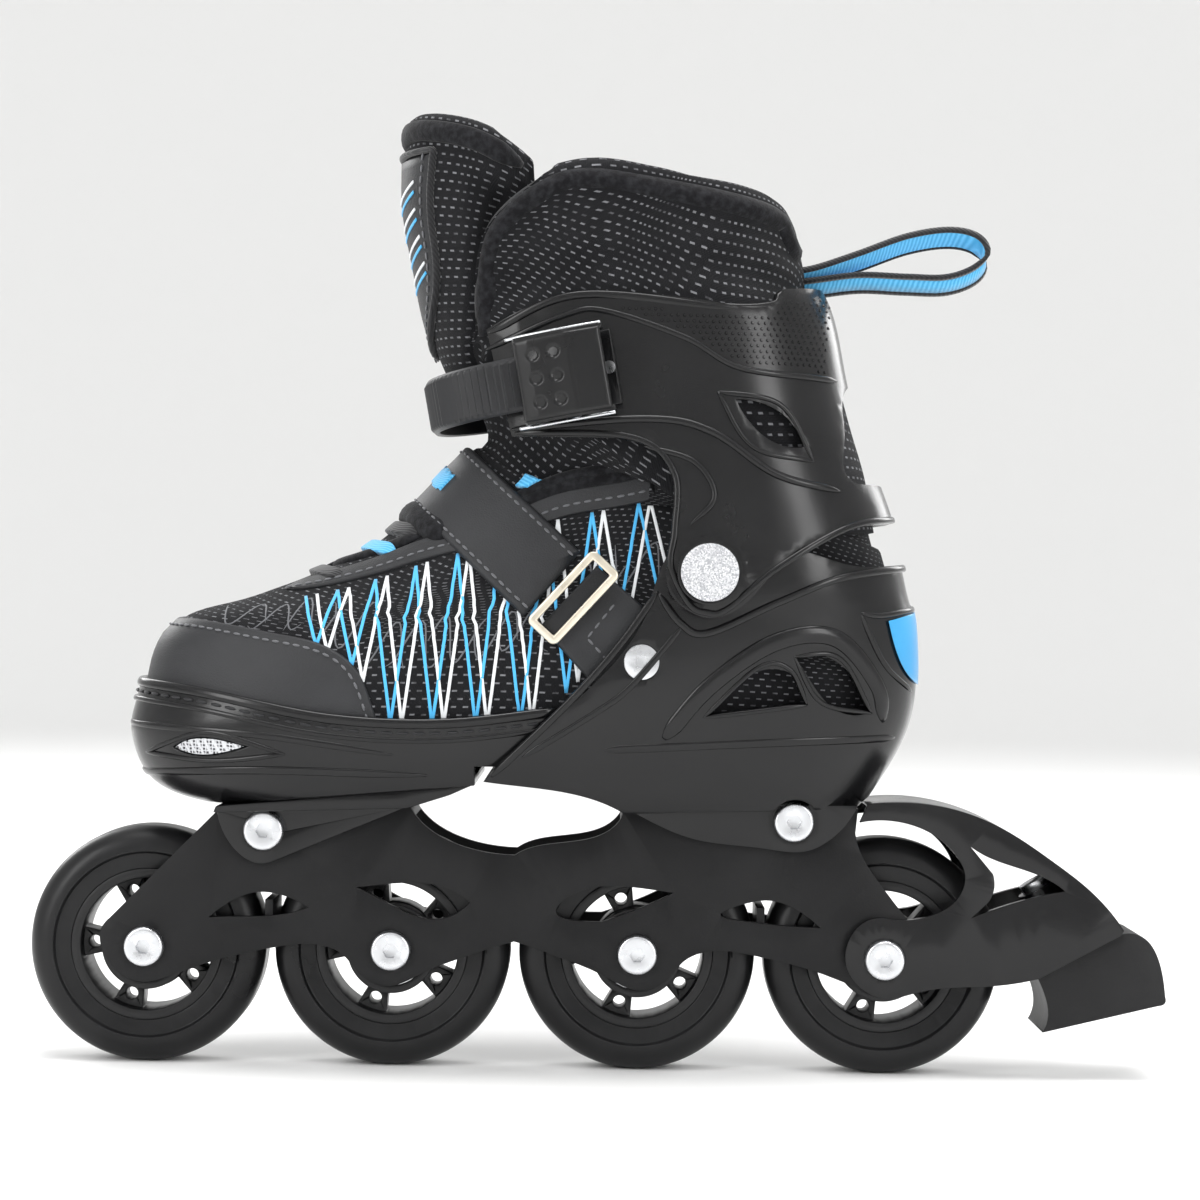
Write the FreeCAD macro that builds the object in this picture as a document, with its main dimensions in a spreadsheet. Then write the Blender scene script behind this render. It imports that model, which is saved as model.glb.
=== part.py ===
"""Inline skate: four wheels on a frame, a size-adjustable boot shell and a hinged cuff.

Frame of the model: toe towards -X, heel towards +X, buckle side (lateral) towards -Y, +Z up.
The origin lies on the ground under the middle of the skate. All sizes are millimetres.
"""
import FreeCAD, Part
import math
import os
import re
import Sketcher

V = FreeCAD.Vector
document = FreeCAD.newDocument("inline_skate")
sheet = document.addObject("Spreadsheet::Sheet", "Sizes")

SIZES = {
    # wheels and bearings
    "wheel_radius": 36.0, "wheel_half_width": 12.0, "tyre_bore_radius": 23.0, "tyre_step_radius": 27.7,
    "tyre_waist": 10.5, "crown_radius": 7.4, "hub_web_half_width": 5.0, "hub_rim_inner": 20.1,
    "hub_boss_radius": 13.5, "hub_shoulder_radius": 9.0, "window_half_angle": 23.0, "oval_radius": 1.9,
    "bearing_radius": 11.0, "bearing_bore": 4.0, "bearing_width": 7.0, "race_outer_bore": 9.55,
    "race_inner_radius": 5.45, "ball_radius": 1.98, "ball_circle": 7.5,
    "spacer_radius": 5.6, "shield_bore": 5.9, "shield_depth": 0.4,
    # frame
    "wheel_spacing": 74.6, "front_axle_x": -136.1, "axle_height": 36.0,
    "rail_inner": 13.5, "rail_outer": 16.0, "lug_outer": 19.0,
    "axle_radius": 3.97, "axle_hole": 4.0, "axle_boss_radius": 6.5,
    "bolt_head_radius": 6.0, "bolt_head_height": 2.6, "hex_socket": 4.0, "screw_radius": 2.9,
    "front_mount_x": -100.2, "front_mount_z": 71.9, "rear_mount_x": 59.6, "rear_mount_z": 77.2,
    # brake
    "brake_pad_half_width": 16.5, "brake_screw_radius": 2.5,
    # shells: distances outwards from the soft boot's surface
    "toe_shell_inner": 0.5, "toe_shell_outer": 3.0, "rear_shell_inner": 3.4, "rear_shell_outer": 6.0,
    "cuff_wall": 2.8, "lining": 7.0, "collar_padding": 9.0,
    # ankle pivot
    "pivot_x": 31.9, "pivot_z": 151.7, "pivot_radius": 3.95, "pivot_hole": 4.0, "pivot_boss_radius": 11.0,
    "ear_inner_face": 42.6, "ear_face": 46.0, "cuff_face_inner": 46.3, "cuff_face_outer": 49.3,
    "rivet_head_radius": 9.5, "rivet_head_height": 2.4, "cap_radius": 8.5, "cap_height": 1.2,
    # instep strap hardware and size button
    "strap_screw_x": 12.5, "strap_screw_z": 125.1, "strap_screw_radius": 5.2, "square_socket": 3.4,
    "ring_wire": 2.4,
    "button_x": -4.0, "button_z": 99.5, "button_radius": 6.0, "button_travel": 2.5,
    # buckle
    "buckle_width": 22.0, "buckle_wall": 1.4, "buckle_plate": 1.2, "lever_length": 26.0, "pin_radius": 1.2,
    "ladder_width": 16.0, "ladder_thickness": 1.8, "running_gap": 0.05,
}
for row, (alias, number) in enumerate(SIZES.items(), start=1):
    sheet.set(f"A{row}", alias)
    sheet.set(f"B{row}", str(number))
    sheet.setAlias(f"B{row}", alias)
document.recompute()


def size(expression):
    """Value in millimetres of a number or of an expression in the sheet's aliases."""
    if isinstance(expression, str):
        return float(sheet.evalExpression(expression))
    return float(expression)


def bound(expression):
    """The same expression as a document object writes it, with the sheet's name before each alias."""
    return re.sub(r"[a-z][a-z_]+", lambda word: "Sizes." + word.group(), expression)


sub_parts = []


def keep(part, label=None):
    """Note an object of the document as a sub-part, whose label names its file."""
    part.Label = label or part.Label
    sub_parts.append(part)
    return part


# ---------------------------------------------------------------- PartDesign helpers

def new_body(name):
    return document.addObject("PartDesign::Body", name)


def new_sketch(body, role, name, shift=0.0):
    """Sketch on one of the body's own planes, moved off it by shift along the plane's normal."""
    plane = next(f for f in body.Origin.OriginFeatures if f.Role == role)
    sketch = body.newObject("Sketcher::SketchObject", name)
    sketch.AttachmentSupport = [(plane, "")]
    sketch.MapMode = "FlatFace"
    if isinstance(shift, str):
        sketch.setExpression(".AttachmentOffset.Base.z", bound(shift))
    sketch.AttachmentOffset = FreeCAD.Placement(V(0, 0, size(shift)), FreeCAD.Rotation())
    return sketch


def fix_point(sketch, geometry, end, point):
    """Hold one end of a sketch element at a point; coordinates given as expressions are bound."""
    for kind, coordinate in zip(("DistanceX", "DistanceY"), point):
        constraint = Sketcher.Constraint(kind, -1, 1, geometry, end, size(coordinate))
        index = sketch.addConstraint(constraint)
        if isinstance(coordinate, str):
            sketch.setExpression(f"Constraints[{index}]", bound(coordinate))


def draw_polygon(sketch, points):
    first = sketch.GeometryCount
    corners = [V(size(a), size(b), 0) for a, b in points]
    count = len(points)
    for index in range(count):
        sketch.addGeometry(Part.LineSegment(corners[index], corners[(index + 1) % count]), False)
    for index in range(count):
        following = first + (index + 1) % count
        sketch.addConstraint(Sketcher.Constraint("Coincident", first + index, 2, following, 1))
        fix_point(sketch, first + index, 1, points[index])


def draw_circle(sketch, centre, radius):
    circle = Part.Circle(V(size(centre[0]), size(centre[1]), 0), V(0, 0, 1), size(radius))
    index = sketch.addGeometry(circle, False)
    fix_point(sketch, index, 3, centre)
    constraint = sketch.addConstraint(Sketcher.Constraint("Radius", index, size(radius)))
    if isinstance(radius, str):
        sketch.setExpression(f"Constraints[{constraint}]", bound(radius))


def revolve(body, sketch):
    """Turn a profile of (radius, distance along the axle) points about the body's Y axis."""
    feature = body.newObject("PartDesign::Revolution", "turned")
    feature.Profile = sketch
    feature.ReferenceAxis = (sketch, ["V_Axis"])
    feature.Angle = 360
    document.recompute()
    return feature


def turned_body(name, profile):
    body = new_body(name)
    sketch = new_sketch(body, "XY_Plane", name + "_profile")
    draw_polygon(sketch, profile)
    revolve(body, sketch)
    return body


def extrude(body, kind, sketch, length, midplane=False, reverse=False):
    """Pad or Pocket of a sketch by a length, which is bound when it is an expression."""
    feature = body.newObject("PartDesign::" + kind, kind.lower())
    feature.Profile = sketch
    feature.Length = size(length)
    feature.Midplane = midplane
    feature.Reversed = reverse
    if isinstance(length, str):
        feature.setExpression("Length", bound(length))
    document.recompute()
    return feature


def polar(body, feature, count):
    pattern = body.newObject("PartDesign::PolarPattern", "around_axle")
    pattern.Originals = [feature]
    axis = next(f for f in body.Origin.OriginFeatures if f.Role == "Y_Axis")
    pattern.Axis = (axis, [""])
    pattern.Angle = 360
    pattern.Occurrences = count
    body.Tip = pattern
    document.recompute()


def place_on_axle(body, wheel):
    """Move a body to the axle of wheel 0, 1, 2 or 3, counted from the toe."""
    body.setExpression(".Placement.Base.x", bound(f"front_axle_x + {wheel} * wheel_spacing"))
    body.setExpression(".Placement.Base.z", bound("axle_height"))


# ---------------------------------------------------------------- Part helpers for moulded shapes

def feature_of(name, shape):
    part = document.addObject("Part::Feature", name)
    part.Shape = shape
    return keep(part, name)


def edge_through(points):
    """A straight edge through two points, or a smooth curve through more of them."""
    if len(points) == 2:
        return Part.LineSegment(*points).toShape()
    curve = Part.BSplineCurve()
    curve.interpolate(points)
    return curve.toShape()


def side_face(runs):
    """Face in the XZ plane. Each run starts at the last run's end; two points make it straight."""
    edges = []
    start = V(runs[0][0][0], 0, runs[0][0][1])
    here = start
    for number, run in enumerate(runs):
        points = [here] + [V(x, 0, z) for x, z in run[1 if number == 0 else 0:]]
        edges.append(edge_through(points))
        here = points[-1]
    if here.distanceToPoint(start) > 1e-6:
        edges.append(edge_through([here, start]))
    return Part.Face(Part.Wire(edges))


def slab(runs, low, high):
    """The side outline as a plate between two Y positions."""
    face = side_face(runs)
    face.translate(V(0, low, 0))
    return face.extrude(V(0, high - low, 0))


def both_sides(runs, inner, outer):
    return slab(runs, inner, outer).fuse(slab(runs, -outer, -inner))


def through(runs):
    """A side outline that runs right through the skate."""
    return slab(runs, -80.0, 80.0)


def rod(x, z, radius, low, high):
    return Part.makeCylinder(radius, high - low, V(x, low, z), V(0, 1, 0))


def rods(x, z, radius, inner, outer):
    return rod(x, z, radius, inner, outer).fuse(rod(x, z, radius, -outer, -inner))


def one_solid(shape):
    """The largest solid of a boolean's result."""
    return max(shape.Solids, key=lambda solid: solid.Volume)


def squared(value, roundness=2.5):
    return math.copysign(abs(value) ** (2.0 / roundness), value)


def level_wire(height, front, back, front_width, back_width, grow):
    """Level section of a boot: a squared ellipse whose half width goes from toe to heel."""
    middle = (front + back) / 2.0
    half_length = (back - front) / 2.0 + grow
    points = []
    steps = 24
    for step in range(steps):
        angle = 2.0 * math.pi * step / steps
        along = squared(math.cos(angle))
        share = 0.5 + 0.5 * along
        blend = share * share * (3.0 - 2.0 * share)
        width = front_width + (back_width - front_width) * blend + grow
        points.append(V(middle + half_length * along, width * squared(math.sin(angle)), height))
    curve = Part.BSplineCurve()
    curve.interpolate(points, PeriodicFlag=True)
    return Part.Wire(curve.toShape())


def level_loft(sections, grow):
    """Smooth solid through level sections, each moved outwards by grow."""
    return Part.makeLoft([level_wire(*section, grow) for section in sections], True, False)


# height, front, back, half width at the ball of the foot, half width at the ankle
BOOT_SECTIONS = [
    (74.0, -104.0, 70.0, 24.0, 19.0),
    (80.0, -119.0, 75.0, 32.0, 24.0),
    (87.0, -134.0, 79.5, 40.0, 29.0),
    (96.0, -138.8, 85.0, 44.0, 33.0),
    (106.0, -139.6, 89.5, 45.0, 36.0),
    (117.0, -137.0, 91.5, 43.5, 39.0),
    (129.0, -133.0, 91.5, 40.0, 41.0),
    (136.0, -126.0, 91.0, 37.5, 41.5),
    (143.0, -103.0, 89.5, 35.0, 41.5),
    (157.0, -71.5, 86.0, 32.5, 41.0),
    (172.0, -54.0, 82.0, 30.0, 39.0),
    (192.0, -36.0, 76.0, 28.0, 38.0),
]
# height, front, back, half width twice
LEG_SECTIONS = [
    (148.0, -34.0, 85.5, 38.5, 38.5),
    (178.0, -38.0, 80.0, 39.5, 39.5),
    (200.0, -43.5, 73.5, 40.0, 40.0),
    (220.0, -52.0, 67.5, 40.0, 40.0),
    (242.0, -57.5, 59.5, 39.5, 39.5),
    (268.0, -61.5, 54.5, 39.5, 39.5),
    (290.0, -61.5, 51.0, 39.0, 39.0),
]
# the cuff's inner surface
CUFF_SECTIONS = [
    (130.0, -42.0, 93.0, 46.5, 46.5),
    (152.0, -42.0, 90.5, 46.5, 46.5),
    (172.0, -43.0, 85.5, 45.2, 45.2),
    (195.0, -47.0, 76.5, 42.6, 42.6),
    (215.0, -52.0, 71.0, 41.6, 41.6),
    (242.0, -58.5, 61.0, 41.2, 41.2),
]


def boot(grow):
    return level_loft(BOOT_SECTIONS, grow)


def shell_between(inner, outer, runs):
    """Wall of the boot between two distances from its soft surface, inside a side outline."""
    return boot(outer).common(through(runs)).cut(boot(inner))


# ---------------------------------------------------------------- wheels

def make_tyre(wheel):
    body = turned_body(f"tyre_{wheel + 1}", [
        ("tyre_bore_radius", "-tyre_waist"), ("tyre_step_radius", "-tyre_waist"),
        ("tyre_step_radius + 0.6", "-wheel_half_width"), ("wheel_radius", "-wheel_half_width"),
        ("wheel_radius", "wheel_half_width"), ("tyre_step_radius + 0.6", "wheel_half_width"),
        ("tyre_step_radius", "tyre_waist"), ("tyre_bore_radius", "tyre_waist"),
    ])
    edges = []
    turned = body.Tip
    for number, edge in enumerate(turned.Shape.Edges, start=1):
        if hasattr(edge.Curve, "Radius") and abs(edge.Curve.Radius - size("wheel_radius")) < 1e-6:
            edges.append(f"Edge{number}")
    crown = body.newObject("PartDesign::Fillet", "crown")
    crown.Base = (turned, edges)
    crown.Radius = size("crown_radius")
    crown.setExpression("Radius", bound("crown_radius"))
    body.Tip = crown
    document.recompute()
    place_on_axle(body, wheel)
    keep(body)


def window_sketch(body):
    """One of the five wide windows between the hub's spokes."""
    sketch = new_sketch(body, "XZ_Plane", "window")
    half = math.radians(size("window_half_angle"))
    radii = [size("hub_boss_radius + 0.4"), size("hub_rim_inner")]
    corners = []
    for radius in radii:
        arc = Part.ArcOfCircle(Part.Circle(V(0, 0, 0), V(0, 0, 1), radius), -half, half)
        corners.append((sketch.addGeometry(arc, False), arc))
    for end, angle in ((1, -half), (2, half)):
        ends = [V(radius * math.cos(angle), radius * math.sin(angle), 0) for radius in radii]
        line = sketch.addGeometry(Part.LineSegment(*ends), False)
        sketch.addConstraint(Sketcher.Constraint("Coincident", line, 1, corners[0][0], end))
        sketch.addConstraint(Sketcher.Constraint("Coincident", line, 2, corners[1][0], end))
        sketch.addConstraint(Sketcher.Constraint("PointOnObject", -1, 1, line))
    for (arc, _), radius in zip(corners, ("hub_boss_radius + 0.4", "hub_rim_inner")):
        sketch.addConstraint(Sketcher.Constraint("Coincident", arc, 3, -1, 1))
        constraint = sketch.addConstraint(Sketcher.Constraint("Radius", arc, size(radius)))
        sketch.setExpression(f"Constraints[{constraint}]", bound(radius))
    return sketch


def make_hub(wheel):
    body = turned_body(f"hub_{wheel + 1}", [
        ("bearing_radius", "-wheel_half_width"), ("hub_boss_radius", "-wheel_half_width"),
        ("hub_boss_radius", "-hub_web_half_width"), ("hub_rim_inner", "-hub_web_half_width"),
        ("hub_rim_inner", "-tyre_waist"), ("tyre_bore_radius", "-tyre_waist"),
        ("tyre_bore_radius", "tyre_waist"), ("hub_rim_inner", "tyre_waist"),
        ("hub_rim_inner", "hub_web_half_width"), ("hub_boss_radius", "hub_web_half_width"),
        ("hub_boss_radius", "wheel_half_width"), ("bearing_radius", "wheel_half_width"),
        ("bearing_radius", "wheel_half_width - bearing_width"),
        ("hub_shoulder_radius", "wheel_half_width - bearing_width"),
        ("hub_shoulder_radius", "bearing_width - wheel_half_width"),
        ("bearing_radius", "bearing_width - wheel_half_width"),
    ])
    window = extrude(body, "Pocket", window_sketch(body), 40.0, midplane=True)
    polar(body, window, 5)
    oval = new_sketch(body, "XZ_Plane", "spoke_hole")
    spoke = math.radians(36.0)
    draw_circle(oval, (16.5 * math.cos(spoke), 16.5 * math.sin(spoke)), "oval_radius")
    polar(body, extrude(body, "Pocket", oval, 40.0, midplane=True), 5)
    place_on_axle(body, wheel)
    keep(body)


def make_bearing_outers(wheel):
    """The two outer races of a wheel, each with the shields that hide its balls."""
    inner_end = size("wheel_half_width - bearing_width")
    outer_end = size("wheel_half_width")
    ring = Part.makeCylinder(size("bearing_radius"), outer_end - inner_end, V(0, inner_end, 0), V(0, 1, 0))
    bore = Part.makeCylinder(size("race_outer_bore"), outer_end - inner_end, V(0, inner_end, 0), V(0, 1, 0))
    race = ring.cut(bore)
    for position in (inner_end, outer_end - size("shield_depth")):
        disc = Part.makeCylinder(size("race_outer_bore"), size("shield_depth"), V(0, position, 0), V(0, 1, 0))
        hole = Part.makeCylinder(size("shield_bore"), size("shield_depth"), V(0, position, 0), V(0, 1, 0))
        race = race.fuse(disc.cut(hole))
    mirrored = race.mirror(V(0, 0, 0), V(0, 1, 0))
    part = feature_of(f"bearing_outers_{wheel + 1}", Part.makeCompound([race.removeSplitter(), mirrored]))
    place_on_axle(part, wheel)


def make_ball_sets(wheel):
    """Seven loose balls in each of a wheel's two bearings."""
    depth = size("wheel_half_width - bearing_width / 2")
    circle = size("ball_circle")
    balls = []
    for number in range(7):
        angle = 2.0 * math.pi * number / 7
        for side in (-depth, depth):
            place = V(circle * math.cos(angle), side, circle * math.sin(angle))
            balls.append(Part.makeSphere(size("ball_radius"), place))
    part = feature_of(f"ball_sets_{wheel + 1}", Part.makeCompound(balls))
    place_on_axle(part, wheel)


def axle_x(wheel):
    return size("front_axle_x") + wheel * size("wheel_spacing")


def on_each_axle(shape_at_origin):
    """Copies of a shape modelled about the Y axis, one on each wheel axle."""
    copies = []
    for wheel in range(4):
        copy = shape_at_origin.copy()
        copy.translate(V(axle_x(wheel), 0, size("axle_height")))
        copies.append(copy)
    return copies


def make_bearing_inners():
    ring = turned_body("bearing_inner_race", [
        ("bearing_bore", "wheel_half_width - bearing_width"),
        ("race_inner_radius", "wheel_half_width - bearing_width"),
        ("race_inner_radius", "wheel_half_width"), ("bearing_bore", "wheel_half_width"),
    ])
    races = [ring.Shape.copy(), ring.Shape.mirror(V(0, 0, 0), V(0, 1, 0))]
    feature_of("bearing_inners", Part.makeCompound(on_each_axle(Part.makeCompound(races))))


def make_bearing_spacers():
    tube = turned_body("bearing_spacer", [
        ("bearing_bore", "bearing_width - wheel_half_width"),
        ("spacer_radius - 0.6", "bearing_width - wheel_half_width"),
        ("spacer_radius - 0.6", "wheel_half_width - bearing_width"),
        ("bearing_bore", "wheel_half_width - bearing_width"),
    ])
    feature_of("bearing_spacers", Part.makeCompound(on_each_axle(tube.Shape)))


def barrel(lateral_end, medial_face):
    """Headed sleeve that comes in from the medial side, with its thread open to the lateral side."""
    sleeve = rod(0.0, 0.0, size("axle_radius"), lateral_end, medial_face)
    head = rod(0.0, 0.0, size("bolt_head_radius"), medial_face, medial_face + size("bolt_head_height"))
    thread = rod(0.0, 0.0, size("screw_radius"), lateral_end, lateral_end + 14.0)
    return sleeve.fuse(head).cut(thread).removeSplitter()


def make_axle_barrels():
    sleeves = on_each_axle(barrel(-size("rail_outer") + 0.4, size("rail_outer")))
    rear = barrel(-size("rail_outer") + 0.4, size("lug_outer"))
    rear.translate(V(axle_x(3), 0, size("axle_height")))
    sleeves[3] = rear
    feature_of("axle_barrels", Part.makeCompound(sleeves))


def screw(face, length):
    """Low round-headed screw with a hexagon socket, whose head rests at Y = -face."""
    height = size("bolt_head_height")
    head = Part.makeCylinder(size("bolt_head_radius"), height, V(0, -face - height, 0), V(0, 1, 0))
    rim = [edge for edge in head.Edges if abs(edge.BoundBox.YMax + face + height) < 1e-6]
    head = head.makeFillet(1.1, rim)
    shank = Part.makeCylinder(size("screw_radius"), length, V(0, -face, 0), V(0, 1, 0))
    corners = []
    across = size("hex_socket") / math.sqrt(3.0)
    for corner in range(7):
        angle = math.radians(60.0 * corner)
        corners.append(V(across * math.cos(angle), -face - height, across * math.sin(angle)))
    socket = Part.Face(Part.makePolygon(corners)).extrude(V(0, height + 0.4, 0))
    return head.fuse(shank).cut(socket).removeSplitter()


def make_axle_screws():
    screws = on_each_axle(screw(size("rail_outer"), 11.0))
    rear = screw(size("lug_outer"), 14.0)
    rear.translate(V(axle_x(3), 0, size("axle_height")))
    screws[3] = rear
    feature_of("axle_screws", Part.makeCompound(screws))


# ---------------------------------------------------------------- frame, sole plate and mounting bolts

DECK_FRONT = [(-114.4, 77.7), (-56.5, 79.9)]
DECK_REAR = [(8.2, 79.6), (79.2, 81.3)]
TOE_BOTTOM = [(-150.0, 78.1), (-113.6, 79.9), (-60.4, 85.3), (-36.0, 87.6)]


def along_x(run):
    """The same points measured from the front wheel's axle, for outlines that repeat along the frame."""
    middle = axle_x(0) + 1.5 * size("wheel_spacing")
    return [(2.0 * middle - x, z) for x, z in reversed(run)]


def mount_places():
    """Where the two mounting bolts cross the frame."""
    return [V(size(end + "_mount_x"), 0, size(end + "_mount_z")) for end in ("front", "rear")]


def rail_outline():
    front = axle_x(0)
    nose = [(front - 10.5, 44.5), (front - 13.5, 38.6), (front - 11.2, 32.0), (front - 6.9, 27.4),
            (front, 25.2), (front + 7.6, 27.0), (front + 20.0, 31.6), (front + 38.7, 36.2),
            (front + 52.2, 37.4),
            (front + 60.4, 34.2), (front + 66.0, 28.0), (front + 74.6, 25.2), (front + 83.4, 28.8),
            (front + 99.0, 35.1), (front + 111.9, 39.3)]
    tail = along_x(nose)
    return [
        [(-114.4, 77.7), nose[0]], nose[1:], tail[1:],
        [(93.4, 49.6), (87.6, 56.9), (80.6, 67.0), (78.5, 73.9)], [(79.2, 81.3)], [DECK_REAR[0]],
        [(7.3, 76.8), (5.5, 74.6), (-9.0, 69.6), (-24.4, 65.4)],
        [(-50.4, 72.8), (-54.7, 77.0), DECK_FRONT[1]],
    ]


def rail_windows():
    eye = [[(-116.8, 45.0), (-110.9, 49.6), (-102.5, 52.9), (-94.1, 52.0), (-86.6, 48.6)],
           [(-91.5, 46.9), (-104.8, 45.5), (-116.8, 45.0)]]
    scoop = [[(-72.2, 54.9), (-59.2, 56.4), (-40.5, 53.1), (-37.7, 50.8)],
             [(-50.6, 45.7), (-62.7, 50.3), (-72.2, 54.9)]]
    windows = []
    for runs in (eye, scoop):
        windows.append(runs)
        windows.append([along_x(run) for run in reversed(runs)])
    return windows


def make_frame():
    inner = size("rail_inner")
    outer = size("rail_outer")
    frame = both_sides(rail_outline(), inner, outer)
    front_deck = [DECK_FRONT, [(-54.7, 77.0)], [(-112.5, 74.8)]]
    rear_deck = [DECK_REAR, [(78.6, 78.3)], [(7.3, 76.6)]]
    for deck in (front_deck, rear_deck):
        frame = frame.fuse(slab(deck, -inner, inner))
    for gap in range(3):
        middle = axle_x(gap) + size("wheel_spacing") / 2.0
        low = 44.0 if gap != 1 else 48.0
        bridge = Part.makeBox(2.4, 2.0 * inner, 6.5, V(middle - 1.2, -inner, low))
        frame = frame.fuse(bridge)
    for runs in rail_windows():
        frame = frame.cut(both_sides(runs, inner, outer))
    bosses = on_each_axle(rods(0.0, 0.0, size("axle_boss_radius"), size("wheel_half_width"), inner))
    holes = on_each_axle(rod(0.0, 0.0, size("axle_hole"), -outer, outer))
    for place in mount_places():
        holes.append(rod(place.x, place.z, size("axle_hole"), -outer, outer))
    frame = frame.multiFuse(bosses).cut(Part.makeCompound(holes))
    feature_of("frame", one_solid(frame))


def make_sole_plate():
    """Plate between the frame's front deck and the toe shell, with a lug outside each rail."""
    top = [(x, z - 0.3) for x, z in TOE_BOTTOM[1:]]
    rear_top = (top[2][0] - 1.0, top[2][1] - 0.1)
    plate = slab([DECK_FRONT, [(-44.0, 84.0)], [rear_top], [top[1]], [top[0]]], -29.0, 29.0)
    lug = [[DECK_FRONT[0], (-107.8, 64.8), (-102.3, 61.9), (-98.1, 62.2)], [DECK_FRONT[1]], [(-60.0, 82.5)],
           [(-112.0, 78.6)]]
    plate = plate.fuse(both_sides(lug, size("rail_outer"), size("lug_outer")))
    plate = plate.cut(rod(size("front_mount_x"), size("front_mount_z"), size("axle_hole"), -60.0, 60.0))
    feature_of("sole_plate", one_solid(plate))


def make_mount_bolts():
    face = size("lug_outer")
    barrels = []
    screws = []
    for place in mount_places():
        sleeve = barrel(-face + 0.4, face)
        sleeve.translate(place)
        barrels.append(sleeve)
        bolt = screw(face, 14.0)
        bolt.translate(place)
        screws.append(bolt)
    feature_of("mount_barrels", Part.makeCompound(barrels))
    feature_of("mount_screws", Part.makeCompound(screws))


# ---------------------------------------------------------------- brake

BRAKE_SEAT = [(134.4, 31.1), (159.0, 44.6)]


def make_brake_arm():
    """Two cheeks on the rear axle, joined over the wheel and in front of the pad."""
    axle = axle_x(3)
    cheek = [
        [(81.9, 82.6), (91.0, 83.6), (99.8, 83.2), (120.4, 77.4), (137.7, 66.8), (148.2, 59.0),
         (159.8, 46.1)],
        [BRAKE_SEAT[1]], [BRAKE_SEAT[0]],
        [(121.9, 28.8), (98.1, 26.4), (axle, 24.4), (76.2, 34.0), (78.5, 44.5), (axle, 48.6)],
        [(104.7, 50.9), (109.7, 55.1), (111.6, 62.0), (109.0, 67.6), (98.6, 75.6), (79.6, 77.3)],
    ]
    window = [[(113.1, 70.6), (118.9, 67.3), (131.0, 63.3), (141.9, 57.6)],
              [(126.6, 53.8), (113.5, 49.0)], [(118.6, 53.8)], [(120.4, 57.8), (120.0, 62.5)]]
    under_roof = [[(60.0, 80.2), (99.4, 80.4), (119.0, 74.2), (136.0, 63.8), (146.0, 56.2), (153.6, 48.4)],
                  [(136.8, 39.4)], [(129.0, 20.0)], [(60.0, 20.0)]]
    inner = size("rail_outer")
    outer = size("lug_outer")
    arm = slab(cheek, -outer, outer).cut(through(window)).cut(slab(under_roof, -inner, inner))
    foot, out = brake_axis()
    arm = arm.fuse(Part.makeCylinder(2.0 * size("brake_screw_radius") + 1.5, 21.0, foot + out, out))
    arm = arm.cut(rod(axle, size("axle_height"), size("axle_hole"), -40.0, 40.0)).cut(brake_screw_hole())
    feature_of("brake_arm", one_solid(arm))


def brake_axis():
    """Foot of the pad's screw on the seat, and the direction out of the pad."""
    first = V(BRAKE_SEAT[0][0], 0, BRAKE_SEAT[0][1])
    second = V(BRAKE_SEAT[1][0], 0, BRAKE_SEAT[1][1])
    along = (second - first).normalize()
    return (first + second) * 0.5, V(-along.z, 0, along.x)


def brake_screw_hole():
    foot, out = brake_axis()
    return Part.makeCylinder(size("brake_screw_radius"), 40.0, foot - out * 2.0, out)


def make_brake_pad():
    """Rubber wedge under the arm, with a hollow front face behind the wheel."""
    runs = [
        BRAKE_SEAT, [(160.4, 44.9), (173.0, 26.1)], [(173.1, 24.4), (170.8, 23.2)], [(136.1, 14.6)],
        [(137.7, 20.9), (136.8, 25.4), (134.4, 31.1)],
    ]
    half = size("brake_pad_half_width")
    pad = slab(runs, -half, half)
    foot, out = brake_axis()
    bore = Part.makeCylinder(size("brake_screw_radius"), 16.0, foot - out * 16.0, out)
    feature_of("brake_pad", one_solid(pad.cut(bore)))


def make_brake_screw():
    foot, out = brake_axis()
    radius = size("brake_screw_radius")
    shank = Part.makeCylinder(radius, 14.0 + 22.0, foot - out * 14.0, out)
    head = Part.makeCylinder(2.0 * radius, 2.6, foot + out * 22.0, out)
    feature_of("brake_screw", shank.fuse(head).removeSplitter())


# ---------------------------------------------------------------- boot shells

REAR_FRONT_EDGE = [(-33.4, 89.0), (-26.7, 96.0), (-10.6, 110.0), (4.1, 124.3), (13.5, 138.5)]


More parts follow.
